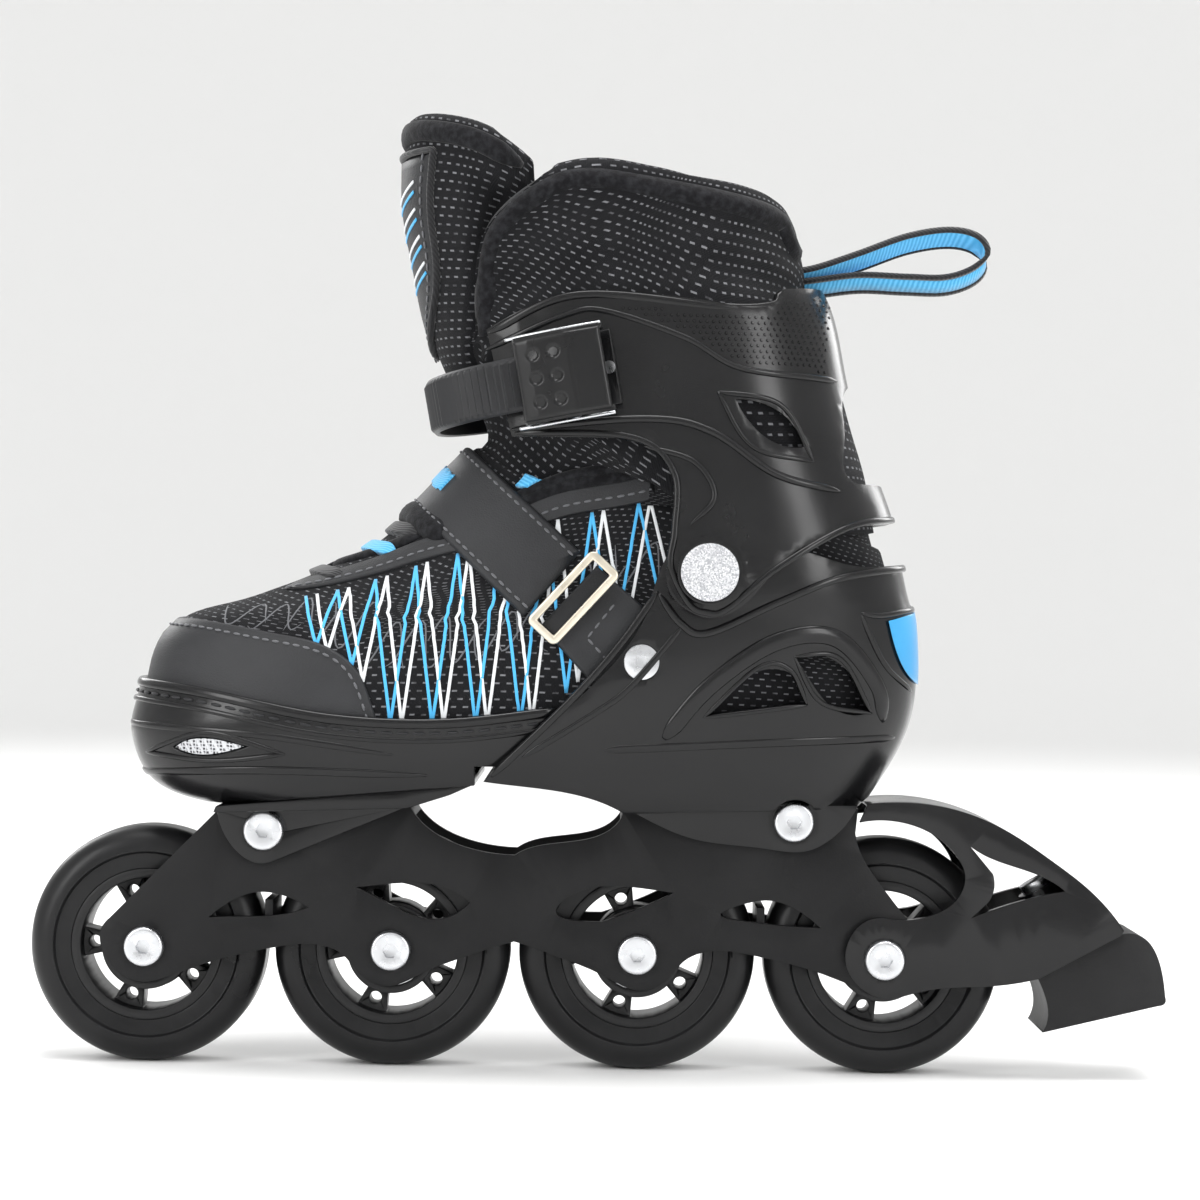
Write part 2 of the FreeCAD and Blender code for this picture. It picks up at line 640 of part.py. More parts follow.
def make_rear_shell():
    """Heel shell with an ear at each ankle and a lug outside each rail."""
    runs = [
        REAR_FRONT_EDGE, [(17.5, 152.0), (24.0, 161.5), (31.9, 164.0), (43.0, 161.0)],
        [(61.8, 158.1), (77.3, 154.4), (90.0, 155.2), (104.0, 155.6)], [(104.0, 92.0)],
        [(86.4, 85.6), (82.6, 84.0), DECK_REAR[1]], [DECK_REAR[0]],
        [(0.4, 83.4), (-16.0, 87.0), (-33.4, 89.0)],
    ]
    hollow = [
        [(-40.0, 91.6), (-16.0, 89.6), (0.4, 86.2), (10.0, 82.4)],
        [(79.0, 84.0), (88.0, 88.4), (110.0, 97.0)],
        [(110.0, 180.0)], [(-40.0, 180.0)],
    ]
    shell = boot(size("rear_shell_outer")).common(through(runs))
    shell = shell.cut(boot(size("rear_shell_inner")).common(through(hollow)))
    lug = [[(8.4, 80.9), (16.5, 76.5), (29.0, 71.6), (50.7, 69.0), (64.3, 68.6), (71.1, 72.3), (78.8, 82.4)]]
    shell = shell.fuse(both_sides(lug, size("rail_outer"), size("lug_outer")))
    x = size("pivot_x")
    z = size("pivot_z")
    inner_face = size("ear_inner_face")
    shell = shell.fuse(rods(x, z, size("pivot_boss_radius"), inner_face, size("ear_face")))
    flat = rods(x, z, size("pivot_boss_radius") + 2.0, size("ear_face"), 60.0)
    shell = shell.cut(flat.fuse(rod(x, z, 8.0, -inner_face, inner_face)))
    lower_vent = [[(31.7, 109.2), (38.7, 116.0), (46.5, 122.7), (54.4, 123.3), (61.7, 113.3)],
                  [(31.7, 109.2)]]
    upper_vent = [[(58.2, 127.0), (65.2, 128.0), (76.9, 120.1), (81.9, 110.9)],
                  [(69.0, 112.8), (61.8, 121.6), (58.2, 127.0)]]
    for vent in (lower_vent, upper_vent):
        shell = shell.cut(through(vent))
    holes = rod(x, z, size("pivot_hole"), -70.0, 70.0)
    holes = holes.fuse(rod(size("rear_mount_x"), size("rear_mount_z"), size("axle_hole"), -30.0, 30.0))
    recess = size("bolt_head_radius") + 1.0
    holes = holes.fuse(rods(size("rear_mount_x"), size("rear_mount_z"), recess, size("lug_outer"), 60.0))
    seat = size("strap_screw_radius") + 0.2
    holes = holes.fuse(rods(size("strap_screw_x"), size("strap_screw_z"), seat, strap_screw_seat(), 60.0))
    holes = holes.fuse(rod(size("strap_screw_x"), size("strap_screw_z"), 2.0, -60.0, 60.0))
    shell = shell.cut(holes)
    feature_of("rear_shell", one_solid(shell.fuse(button_cup()).cut(button_bore())))


def strap_screw_seat():
    return 43.2


def button_cup():
    """Round housing of the size button on the medial side."""
    cup = rod(size("button_x"), size("button_z"), size("button_radius") + 1.8, 39.5, 46.0)
    return cup.cut(boot(size("rear_shell_inner")))


def button_bore():
    return rod(size("button_x"), size("button_z"), size("button_radius") + size("running_gap"), 30.0, 60.0)


def make_size_button():
    """Spring-loaded button that frees the toe shell; it stops short of the shell's wing."""
    wing = button_floor()
    stem = rod(size("button_x"), size("button_z"), size("button_radius") - 2.6, wing, wing + 3.0)
    head = rod(size("button_x"), size("button_z"), size("button_radius"), wing + 3.0, 48.6)
    hollow = rod(size("button_x"), size("button_z"), size("button_radius") - 1.0, wing + 3.0, wing + 4.0)
    ring = hollow.cut(rod(size("button_x"), size("button_z"), size("button_radius") - 2.6, wing, wing + 4.0))
    feature_of("size_button", stem.fuse(head).cut(ring).removeSplitter())


def button_floor():
    """Y position of the resting stem's tip, one travel and a little more from the toe shell's wing."""
    return 41.2 + size("button_travel") + 0.4


def make_toe_shell():
    """Toe shell with a floor and two wings that reach into the heel shell."""
    rim = [(-11.9, 110.2), (-46.1, 106.7), (-80.4, 107.4), (-116.8, 113.6), (-134.0, 116.4)]
    runs = [
        [TOE_BOTTOM[0], TOE_BOTTOM[1]], [TOE_BOTTOM[2]], [TOE_BOTTOM[3]], [(-36.0, 93.4)], [(12.0, 93.4)],
        [(12.0, 111.8)], rim, [(-150.0, 112.0)],
    ]
    floor = [(x, z + 2.4) for x, z in TOE_BOTTOM]
    hollow = [[(-152.0, 80.4), floor[1]], [floor[2]], [floor[3]], [(-35.9, floor[3][1])], [(-35.9, 60.0)],
              [(40.0, 60.0)], [(40.0, 150.0)], [(-152.0, 150.0)]]
    shell = boot(size("toe_shell_outer")).common(through(runs))
    shell = shell.cut(boot(size("toe_shell_inner")).common(through(hollow)))
    feature_of("toe_shell", one_solid(shell.cut(through(TOE_VENT))))


TOE_VENT = [[(-126.5, 97.0), (-122.0, 99.6), (-112.0, 100.0), (-103.5, 98.0)],
            [(-112.0, 95.4), (-121.0, 95.0), (-126.5, 97.0)]]


def make_toe_vent_mesh():
    mesh = shell_between(0.9, 2.2, [[(-126.0, 97.0), (-122.0, 99.2), (-112.0, 99.6), (-104.5, 98.0)],
                                    [(-112.0, 95.8), (-121.0, 95.4), (-126.0, 97.0)]])
    feature_of("toe_vent_mesh", mesh)


def make_heel_badge():
    """Coloured inlay that wraps the back of the heel shell."""
    runs = [[(86.5, 138.3), (104.0, 143.0)], [(104.0, 119.0)], [(95.9, 119.9), (89.4, 128.8), (86.5, 138.3)]]
    outer = size("rear_shell_outer")
    feature_of("heel_badge", one_solid(shell_between(outer + 0.02, outer + 0.7, runs)))


def make_ankle_rivets():
    """Hollow rivets that the cuff turns on, flanged inside the heel shell."""
    x = size("pivot_x")
    z = size("pivot_z")
    face = size("cuff_face_outer") + 0.1
    shank = rods(x, z, size("pivot_radius"), size("ear_inner_face") - 1.4, face)
    flange = rods(x, z, 7.0, size("ear_inner_face") - 1.4, size("ear_inner_face"))
    head = rods(x, z, size("rivet_head_radius"), face, face + size("rivet_head_height"))
    recess = rods(x, z, size("cap_radius"), face + size("rivet_head_height") - size("cap_height"), 60.0)
    rivets = shank.fuse(flange).fuse(head).cut(recess)
    feature_of("ankle_rivets", rivets.removeSplitter())
    top = face + size("rivet_head_height")
    feature_of("ankle_caps", rods(x, z, size("cap_radius") - 0.02, top - size("cap_height"), top + 0.3))


def make_strap_screws():
    x = size("strap_screw_x")
    z = size("strap_screw_z")
    seat = strap_screw_seat()
    head = rods(x, z, size("strap_screw_radius"), seat, seat + 2.2)
    shank = rods(x, z, 1.95, seat - 3.0, seat)
    across = size("square_socket")
    socket = Part.makeBox(across, 200.0, across, V(x - across / 2.0, -100.0, z - across / 2.0))
    core = Part.makeBox(across, 2.0 * seat + 1.6, across, V(x - across / 2.0, -seat - 0.8, z - across / 2.0))
    feature_of("strap_screws", head.cut(socket.cut(core)).fuse(shank).removeSplitter())


# ---------------------------------------------------------------- soft boot

def make_uppers():
    """Padded boot: the toe part slides with the toe shell, the rest stays with the heel shell."""
    lining = size("lining")
    toe_floor = [(x, z + 2.7) for x, z in TOE_BOTTOM]
    toe = [[(-152.0, 80.7), toe_floor[1]], [(-66.0, 87.5)], [(-66.0, 112.0)], [(-94.0, 150.0)],
           [(-152.0, 150.0)]]
    toe_room = [[(-152.0, 86.0), (-113.6, 87.4)], [(-60.0, 92.4)], [(-60.0, 160.0)], [(-152.0, 160.0)]]
    cavity = boot(-lining)
    toe_part = boot(0.0).common(through(toe)).cut(cavity.common(through(toe_room)))
    feature_of("upper_toe", one_solid(toe_part))
    low = [[(-65.7, 90.4), (-36.0, 93.2), (-20.0, 91.8), (0.4, 87.8), (10.0, 84.3)], [(100.0, 85.6)],
           [(100.0, 114.5)], [(-67.3, 114.5)], [(-65.7, 112.0)]]
    high = [[(-67.0, 114.0), (100.0, 114.0)], [(100.0, 156.6)],
            [(44.0, 151.0), (18.0, 157.0), (-22.0, 180.0)], [(-36.5, 188.0)], [(-60.0, 191.0)],
            [(-93.9, 150.9)]]
    room = [[(-70.0, 94.4), (-36.0, 97.4), (-20.0, 96.0), (0.4, 92.0), (10.0, 88.5)], [(100.0, 89.8)],
            [(100.0, 195.0)], [(-110.0, 195.0)], [(-110.0, 94.0)]]
    body_part = boot(-2.6).common(through(low)).fuse(boot(0.0).common(through(high)))
    body_part = body_part.cut(cavity.common(through(room)))
    feature_of("upper_body", one_solid(body_part))
    sole = [[(-98.0, 93.0), (-60.0, 97.2), (-30.0, 99.0), (0.0, 95.0), (30.0, 91.2), (72.0, 91.4)],
            [(72.0, 94.4)], [(30.0, 94.2), (0.0, 98.0), (-30.0, 102.0), (-60.0, 100.2), (-98.0, 96.0)]]
    feature_of("insole", one_solid(boot(-lining - 5.0).common(through(sole))))


def make_instep_strap():
    """Padded strap over the instep, the ring it passes through and the tab that holds the ring."""
    strap = shell_between(0.4, 2.8, [[(-61.0, 172.0), (-22.5, 137.6)], [(-5.8, 157.0)], [(-41.5, 190.0)]])
    feature_of("instep_strap", one_solid(strap))
    wall = size("ring_wire")
    outer = Part.makeBox(11.5, wall, 29.0, V(-5.75, -wall / 2.0, -14.5))
    inner = Part.makeBox(11.5 - 2 * wall, 2 * wall, 29.0 - 2 * wall, V(-5.75 + wall, -wall, -14.5 + wall))
    upright = [edge for edge in outer.Edges if edge.Length < wall * 1.01]
    ring = outer.makeFillet(2.2, upright).cut(inner)
    part = feature_of("strap_ring", ring)
    part.Placement = FreeCAD.Placement(V(-7.8, -44.4, 143.6), FreeCAD.Rotation(V(0, 1, 0), 42.0))
    tab = shell_between(0.4, 2.8, [[(-0.3, 152.6), (-16.6, 134.4)], [(0.0, 118.5)], [(18.0, 128.0)],
                                   [(12.5, 141.0)]])
    hole = rod(size("strap_screw_x"), size("strap_screw_z"), 2.0, -60.0, 60.0)
    tabs = sorted(tab.cut(hole).Solids, key=lambda solid: solid.Volume)[-2:]
    feature_of("ring_tabs", Part.makeCompound(tabs))


def make_laces():
    """Three crossings of the flat lace below the instep strap."""
    crossings = []
    for x, z in ((-77.0, 146.0), (-70.0, 151.5), (-63.5, 157.5)):
        band = [[(x - 12.0, z + 10.0), (x + 6.0, z - 6.0)], [(x + 9.4, z - 2.4)], [(x - 8.6, z + 13.6)]]
        crossing = shell_between(0.35, 1.9, band)
        crossings.append(one_solid(crossing))
    feature_of("laces", Part.makeCompound(crossings))


# ---------------------------------------------------------------- cuff, liner and buckle

STRAP_TILT = -10.8
STRAP_ORIGIN = V(-25.0, 0.0, 206.0)
ANCHOR = V(30.0, 20.0, 0.0)


def cuff_wall():
    return level_loft(CUFF_SECTIONS, size("cuff_wall")).cut(level_loft(CUFF_SECTIONS, 0.0))


def make_cuff():
    runs = [
        [(-26.9, 190.9), (8.2, 190.6)],
        [(16.5, 186.4), (21.4, 177.3), (21.9, 170.3), (19.9, 157.0), (20.2, 146.0), (25.7, 140.5),
         (31.9, 138.4), (38.0, 139.8), (50.1, 151.4), (63.9, 161.3)],
        [(84.0, 167.8), (110.0, 169.0)], [(110.0, 238.0)], [(60.0, 237.4), (52.5, 236.3)],
        [(50.3, 232.4), (34.5, 231.1), (8.1, 233.5), (-7.7, 233.4), (-18.2, 230.7), (-35.0, 222.5)],
    ]
    window = [[(120.0, 179.0), (76.0, 179.0)], [(73.0, 181.0), (72.3, 194.0), (72.8, 207.0), (75.0, 209.5)],
              [(120.0, 209.5)]]
    eye = [[(39.0, 202.8), (45.2, 202.3), (52.3, 199.3), (57.3, 194.1), (59.4, 189.3)],
           [(52.5, 189.6), (45.0, 194.2), (39.0, 202.8)]]
    cuff = cuff_wall().common(through(runs)).cut(through(window)).cut(through(eye))
    x = size("pivot_x")
    z = size("pivot_z")
    bosses = rods(x, z, size("pivot_boss_radius"), size("cuff_face_inner"), size("cuff_face_outer"))
    over = rods(x, z, size("pivot_boss_radius") + 1.2, size("cuff_face_outer"), 70.0)
    under = rod(x, z, size("pivot_boss_radius") + 3.0, -size("cuff_face_inner"), size("cuff_face_inner"))
    cuff = cuff.fuse(bosses).cut(over).cut(under).cut(rod(x, z, size("pivot_hole"), -70.0, 70.0))
    anchor_hole = Part.makeCylinder(2.0, 80.0, ANCHOR, V(0, 1, 0))
    anchor_hole.Placement = strap_frame()
    cuff = cuff.cut(anchor_hole)
    feature_of("cuff", one_solid(cuff))


def make_liner():
    """Padded collar and tongue, which move with the cuff; the gap below them lets the cuff flex."""
    leg = level_loft(LEG_SECTIONS, 0.0).cut(level_loft(LEG_SECTIONS, -size("collar_padding")))
    collar = [
        [(-37.5, 214.5), (14.0, 174.5), (34.0, 164.0), (48.0, 160.0), (100.0, 166.5)], [(100.0, 236.0)],
        [(62.0, 238.0), (57.2, 252.4), (53.2, 261.6)],
        [(38.8, 263.6), (18.9, 268.0), (-3.1, 270.6), (-19.6, 268.4)],
        [(-29.4, 260.5), (-37.4, 250.0), (-39.0, 235.0), (-37.5, 214.5)],
    ]
    feature_of("liner_collar", one_solid(leg.common(through(collar))))
    tongue = [
        [(-80.0, 216.0), (-38.2, 216.0)], [(-39.7, 235.0), (-38.1, 250.0), (-30.1, 261.0)], [(-20.4, 269.2)],
        [(-25.1, 274.4), (-38.4, 281.9), (-52.7, 286.6), (-64.0, 286.6)], [(-80.0, 286.6)],
    ]
    feature_of("tongue", one_solid(leg.common(through(tongue))))


def ribbon(points, thickness, height):
    """Upright strip along a smooth line in the XY plane, centred on Z = 0."""
    curve = Part.BSplineCurve()
    curve.interpolate([V(x, y, 0) for x, y in points])
    inside = []
    outside = []
    steps = 40
    for step in range(steps + 1):
        parameter = curve.FirstParameter + (curve.LastParameter - curve.FirstParameter) * step / steps
        place = curve.value(parameter)
        tangent = curve.tangent(parameter)[0]
        normal = V(-tangent.y, tangent.x, 0) * (thickness / 2.0)
        inside.append(place + normal)
        outside.append(place - normal)
    edges = [edge_through(inside), edge_through([inside[-1], outside[-1]]),
             edge_through(outside[::-1]), edge_through([outside[0], inside[0]])]
    strip = Part.Face(Part.Wire(edges)).extrude(V(0, 0, height))
    strip.translate(V(0, 0, -height / 2.0))
    return strip


def strap_frame():
    return FreeCAD.Placement(STRAP_ORIGIN, FreeCAD.Rotation(V(0, 1, 0), STRAP_TILT))


BUCKLE_TURN = -14.0
BUCKLE_PLACE = V(3.0, -43.2, 0.0)


def buckle_frame():
    """Buckle's own frame: X back along the strap, -Y out of the cuff, Z across the strap."""
    local = FreeCAD.Placement(BUCKLE_PLACE, FreeCAD.Rotation(V(0, 0, 1), BUCKLE_TURN))
    return strap_frame().multiply(local)


def make_ladder_strap():
    """Toothed strap round the front of the leg, from its screw on the medial side into the buckle."""
    turn = math.radians(BUCKLE_TURN)
    middle = -(size("buckle_plate") + 0.4 + size("ladder_thickness") / 2.0)
    inside_buckle = []
    for along in (24.0, 12.0, 0.0):
        x = BUCKLE_PLACE.x + along * math.cos(turn) - middle * math.sin(turn)
        y = BUCKLE_PLACE.y + along * math.sin(turn) + middle * math.cos(turn)
        inside_buckle.append((x, y))
    around = [(-9.5, -40.3), (-19.0, -31.5), (-25.5, -18.0), (-27.8, 0.0), (-25.5, 18.0), (-19.0, 31.0),
              (-9.0, 38.8), (4.0, 43.6), (20.0, 47.2), (36.0, 48.6)]
    strap = ribbon(inside_buckle + around, size("ladder_thickness"), size("ladder_width"))
    strap = strap.cut(Part.makeCylinder(2.0, 80.0, ANCHOR, V(0, 1, 0)))
    part = feature_of("ladder_strap", strap)
    part.Placement = strap_frame()
    head = Part.makeCylinder(5.0, 2.5, ANCHOR + V(0, 29.6, 0), V(0, 1, 0))
    shank = Part.makeCylinder(1.95, 9.0, ANCHOR + V(0, 20.6, 0), V(0, 1, 0))
    anchor = feature_of("anchor_screw", head.fuse(shank).removeSplitter())
    anchor.Placement = strap_frame()


def make_buckle():
    width = size("buckle_width")
    wall = size("buckle_wall")
    plate = size("buckle_plate")
    radius = size("pin_radius")
    hinge = V(2.0, -5.6, 0)
    pawl_hinge = V(13.5, -5.6, 0)
    up = V(0, 0, 1)

    base = Part.makeBox(30.0, plate, width, V(-3.0, -plate, -width / 2.0))
    cheek = [V(-0.6, 0, 0), V(17.0, 0, 0), V(17.0, -6.0, 0), V(13.5, -7.6, 0), V(2.0, -7.8, 0),
             V(0.2, -7.4, 0), V(-0.6, -6.0, 0), V(-0.6, 0, 0)]
    profile = Part.Face(Part.makePolygon(cheek))
    for low in (-width / 2.0, width / 2.0 - wall):
        side = profile.extrude(V(0, 0, wall))
        side.translate(V(0, 0, low))
        base = base.fuse(side)
    for place in (hinge, pawl_hinge):
        base = base.cut(Part.makeCylinder(radius, width, place - up * (width / 2.0), up))
    rivet_places = [V(21.0, 0, 0), V(25.0, 0, 0)]
    for place in rivet_places:
        base = base.cut(Part.makeCylinder(1.5, 3.0, V(place.x, -2.0, place.z), V(0, 1, 0)))
    add_to_buckle("buckle_base", base.removeSplitter())

    rivets = []
    for place in rivet_places:
        shank = Part.makeCylinder(1.45, 3.2, V(place.x, -plate, place.z), V(0, 1, 0))
        head = Part.makeCylinder(1.9, 0.15, V(place.x, -plate - 0.15, place.z), V(0, 1, 0))
        rivets.append(shank.fuse(head))
    add_to_buckle("buckle_rivets", Part.makeCompound(rivets))

    pins = []
    for place in (hinge, pawl_hinge):
        pins.append(Part.makeCylinder(radius - 0.02, width, place - up * (width / 2.0), up))
    add_to_buckle("buckle_pins", Part.makeCompound(pins))

    length = size("lever_length")
    lever_width = width + 2.0 * (wall + 0.4)
    outer = [V(-1.4, -6.4, 0), V(0.0, -9.2, 0), V(4.0, -10.0, 0), V(length * 0.6, -9.8, 0),
             V(length, -6.6, 0), V(length, -5.2, 0), V(length * 0.6, -8.4, 0), V(6.0, -8.9, 0),
             V(4.4, -3.4, 0), V(-0.4, -3.4, 0), V(-1.4, -6.4, 0)]
    lever = Part.Face(Part.makePolygon(outer)).extrude(V(0, 0, lever_width))
    lever.translate(V(0, 0, -lever_width / 2.0))
    lever = lever.cut(Part.makeBox(40.0, 6.0, width + 0.6, V(-10.0, -8.9, -width / 2.0 - 0.3)))
    lever = lever.cut(Part.makeCylinder(radius + size("running_gap"), 40.0, hinge - up * 20.0, up))
    add_to_buckle("buckle_lever", lever.removeSplitter())

    tooth = [V(11.7, -7.3, 0), V(15.0, -7.3, 0), V(17.4, -5.4, 0), V(17.6, -3.9, 0), V(12.0, -4.0, 0),
             V(11.7, -7.3, 0)]
    inner = width - 2.0 * wall - 0.6
    pawl = Part.Face(Part.makePolygon(tooth)).extrude(V(0, 0, inner))
    pawl.translate(V(0, 0, -inner / 2.0))
    pawl = pawl.cut(Part.makeCylinder(radius + size("running_gap") - 0.01, 40.0, pawl_hinge - up * 20.0, up))
    add_to_buckle("buckle_pawl", pawl)


def add_to_buckle(name, shape):
    part = feature_of(name, shape)
    part.Placement = buckle_frame()


def make_pull_loop():
    """Webbing loop behind the collar: a flat drop shape seen from the side, its ends against the liner."""
    lower = [(56.0, 239.2), (64.6, 240.4), (78.0, 242.2), (92.3, 241.9), (104.6, 242.0), (113.2, 245.2)]
    upper = [(113.0, 254.8), (104.6, 256.2), (92.3, 254.0), (78.0, 248.6), (64.6, 243.9), (56.0, 242.4)]
    loop = ribbon(lower + [(116.4, 250.2)] + upper, 1.4, 9.0)
    loop.rotate(V(0, 0, 0), V(1, 0, 0), 90.0)
    loop = loop.cut(level_loft(LEG_SECTIONS, 0.05))
    feature_of("pull_loop", one_solid(loop))


# ---------------------------------------------------------------- build and export

for wheel_number in range(4):
    make_tyre(wheel_number)
    make_hub(wheel_number)
    make_bearing_outers(wheel_number)
    make_ball_sets(wheel_number)
make_bearing_inners()
make_bearing_spacers()
make_axle_barrels()
make_axle_screws()
make_frame()
make_sole_plate()
make_mount_bolts()
make_brake_arm()
make_brake_pad()
make_brake_screw()
make_rear_shell()
make_toe_shell()
make_toe_vent_mesh()
make_heel_badge()
make_size_button()
make_ankle_rivets()
make_strap_screws()
make_uppers()
make_instep_strap()
make_laces()
make_cuff()
make_liner()
make_ladder_strap()
make_buckle()
make_pull_loop()
document.recompute()

for item in document.Objects:
    if "Invalid" in item.State or "Error" in item.State:
        raise RuntimeError(f"{item.Label} did not compute: {item.State}")
os.makedirs("parts", exist_ok=True)
for part in sub_parts:
    if part.Shape.isNull() or not part.Shape.isValid():
        raise RuntimeError(f"{part.Label} has no valid shape")
for part in sub_parts:
    part.Shape.exportStep(f"parts/{part.Label}.step")
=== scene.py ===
"""Inline skate: materials, soft goods, trims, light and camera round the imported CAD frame.

Toe towards -X, heel towards +X, buckle side (lateral) towards -Y, +Z up. Lengths in this file are
millimetres until new_piece() turns them into the frame's metres.
"""
import math

import bpy
import numpy as np
from mathutils import Matrix, Vector
from mathutils.bvhtree import BVHTree
from mathutils.geometry import delaunay_2d_cdt


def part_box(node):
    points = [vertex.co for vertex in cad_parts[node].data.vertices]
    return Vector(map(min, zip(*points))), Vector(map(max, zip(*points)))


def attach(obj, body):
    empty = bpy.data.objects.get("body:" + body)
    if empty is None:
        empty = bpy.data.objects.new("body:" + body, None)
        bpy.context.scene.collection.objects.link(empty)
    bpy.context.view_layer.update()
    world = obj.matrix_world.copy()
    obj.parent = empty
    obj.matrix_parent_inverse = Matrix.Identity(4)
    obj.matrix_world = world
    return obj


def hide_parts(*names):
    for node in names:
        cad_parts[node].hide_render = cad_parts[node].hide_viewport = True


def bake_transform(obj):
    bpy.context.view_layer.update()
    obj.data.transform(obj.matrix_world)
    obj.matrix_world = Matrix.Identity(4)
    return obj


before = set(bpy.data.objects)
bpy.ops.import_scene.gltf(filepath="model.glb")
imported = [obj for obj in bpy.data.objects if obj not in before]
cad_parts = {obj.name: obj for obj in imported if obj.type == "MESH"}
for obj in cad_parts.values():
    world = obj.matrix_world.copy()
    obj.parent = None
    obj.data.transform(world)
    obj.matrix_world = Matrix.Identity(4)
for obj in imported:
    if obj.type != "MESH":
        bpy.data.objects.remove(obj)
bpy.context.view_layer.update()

MM = 0.001
LATERAL = -1
MEDIAL = 1
BOTH_SIDES = (LATERAL, MEDIAL)


# ------------------------------ material building

class Finish:
    """A material being built: its shader, with helpers that add textures measured in metres."""

    def __init__(self, name, colour, roughness, metallic=0.0, sheen=0.0, coat=0.0, specular=0.5):
        self.material = bpy.data.materials.new(name)
        self.material.use_nodes = True
        self.nodes = self.material.node_tree.nodes
        self.links = self.material.node_tree.links
        self.shader = self.nodes["Principled BSDF"]
        self.set("Base Color", (*colour, 1.0))
        self.set("Roughness", roughness)
        self.set("Metallic", metallic)
        self.set("Sheen Weight", sheen)
        self.set("Coat Weight", coat)
        self.set("Specular IOR Level", specular)
        self.colour = colour
        self.roughness = roughness
        self.height = None

    def set(self, socket, value):
        self.shader.inputs[socket].default_value = value

    def node(self, kind, **settings):
        node = self.nodes.new("ShaderNode" + kind)
        for key, value in settings.items():
            setattr(node, key, value)
        return node

    def math(self, operation, first, second=0.0, third=0.0):
        node = self.node("Math", operation=operation)
        for index, value in enumerate((first, second, third)):
            if isinstance(value, bpy.types.NodeSocket):
                self.links.new(value, node.inputs[index])
            else:
                node.inputs[index].default_value = value
        return node.outputs[0]

    def places(self):
        """Position on the piece at rest, in metres."""
        return self.node("TexCoord").outputs["Object"]

    def weave_places(self):
        """Position laid flat along the cloth, in millimetres, as the soft pieces store it."""
        return self.node("Attribute", attribute_name="weave").outputs["Vector"]

    def noise(self, scale, detail=3.0, vector=None, stretch=None):
        node = self.node("TexNoise")
        node.inputs["Scale"].default_value = scale
        node.inputs["Detail"].default_value = detail
        source = vector or self.places()
        if stretch:
            mapping = self.node("Mapping")
            mapping.inputs["Scale"].default_value = stretch
            self.links.new(source, mapping.inputs["Vector"])
            source = mapping.outputs["Vector"]
        self.links.new(source, node.inputs["Vector"])
        return node.outputs["Fac"]

    def ramp(self, factor, low, high, start=0.3, end=0.7):
        """Number that goes from low to high as the factor goes from start to end."""
        node = self.node("MapRange", clamp=True)
        self.links.new(factor, node.inputs["Value"])
        for socket, value in (("From Min", start), ("From Max", end), ("To Min", low), ("To Max", high)):
            node.inputs[socket].default_value = value
        return node.outputs["Result"]

    def mix_colour(self, factor, first, second):
        node = self.node("Mix", data_type="RGBA")
        self.links.new(factor, node.inputs[0])
        for index, value in ((6, first), (7, second)):
            if isinstance(value, bpy.types.NodeSocket):
                self.links.new(value, node.inputs[index])
            else:
                node.inputs[index].default_value = (*value, 1.0)
        return node.outputs[2]

    def colour_from(self, socket):
        self.links.new(socket, self.shader.inputs["Base Color"])

    def roughness_from(self, socket):
        self.links.new(socket, self.shader.inputs["Roughness"])

    def bump(self, height, depth, strength=1.0):
        """Adds a bump of the given depth in metres, on top of any earlier one."""
        node = self.node("Bump")
        node.inputs["Strength"].default_value = strength
        node.inputs["Distance"].default_value = depth
        self.links.new(height, node.inputs["Height"])
        if self.height:
            self.links.new(self.height, node.inputs["Normal"])
        self.height = node.outputs["Normal"]
        self.links.new(self.height, self.shader.inputs["Normal"])


def scuffed(finish, worn, amount=0.06):
    """Faint cloudy wear: the colour and the gloss drift a little over the surface."""
    cloud = finish.noise(38.0, 4.0)
    finish.colour_from(finish.mix_colour(finish.ramp(cloud, 0.0, 1.0, 0.35, 0.75), finish.colour, worn))
    finish.roughness_from(finish.ramp(cloud, finish.roughness - amount, finish.roughness + amount))


def moulded(name, colour, worn, roughness, grain=0.00002, coat=0.0):
    """Satin moulded plastic with a fine eroded grain."""
    finish = Finish(name, colour, roughness, coat=coat, specular=0.32)
    scuffed(finish, worn)
    finish.bump(finish.noise(2600.0, 2.0), grain)
    return finish.material


def powder_coat():
    finish = Finish("powder_coat", (0.006, 0.006, 0.0065), 0.42, specular=0.22)
    scuffed(finish, (0.011, 0.011, 0.0115))
    finish.bump(finish.noise(1500.0, 1.0), 0.00004)
    return finish.material


def plated_steel(name, colour, roughness):
    """Zinc plated steel with turning marks."""
    finish = Finish(name, colour, roughness, metallic=1.0)
    cloud = finish.noise(300.0, 3.0)
    finish.roughness_from(finish.ramp(cloud, roughness - 0.06, roughness + 0.1))
    finish.bump(finish.noise(900.0, 2.0, stretch=(1.0, 6.0, 1.0)), 0.00001)
    return finish.material


def tyre_rubber():
    """Cast polyurethane: smooth flanks with faint rings of dust."""
    finish = Finish("tyre", (0.006, 0.006, 0.0065), 0.34, specular=0.24)
    scuffed(finish, (0.013, 0.013, 0.0135), 0.08)
    finish.bump(finish.noise(420.0, 3.0), 0.00003)
    return finish.material


def brake_rubber():
    finish = Finish("brake_rubber", (0.009, 0.009, 0.0095), 0.55, specular=0.25)
    scuffed(finish, (0.018, 0.018, 0.0185))
    finish.bump(finish.noise(800.0, 4.0), 0.00008)
    return finish.material


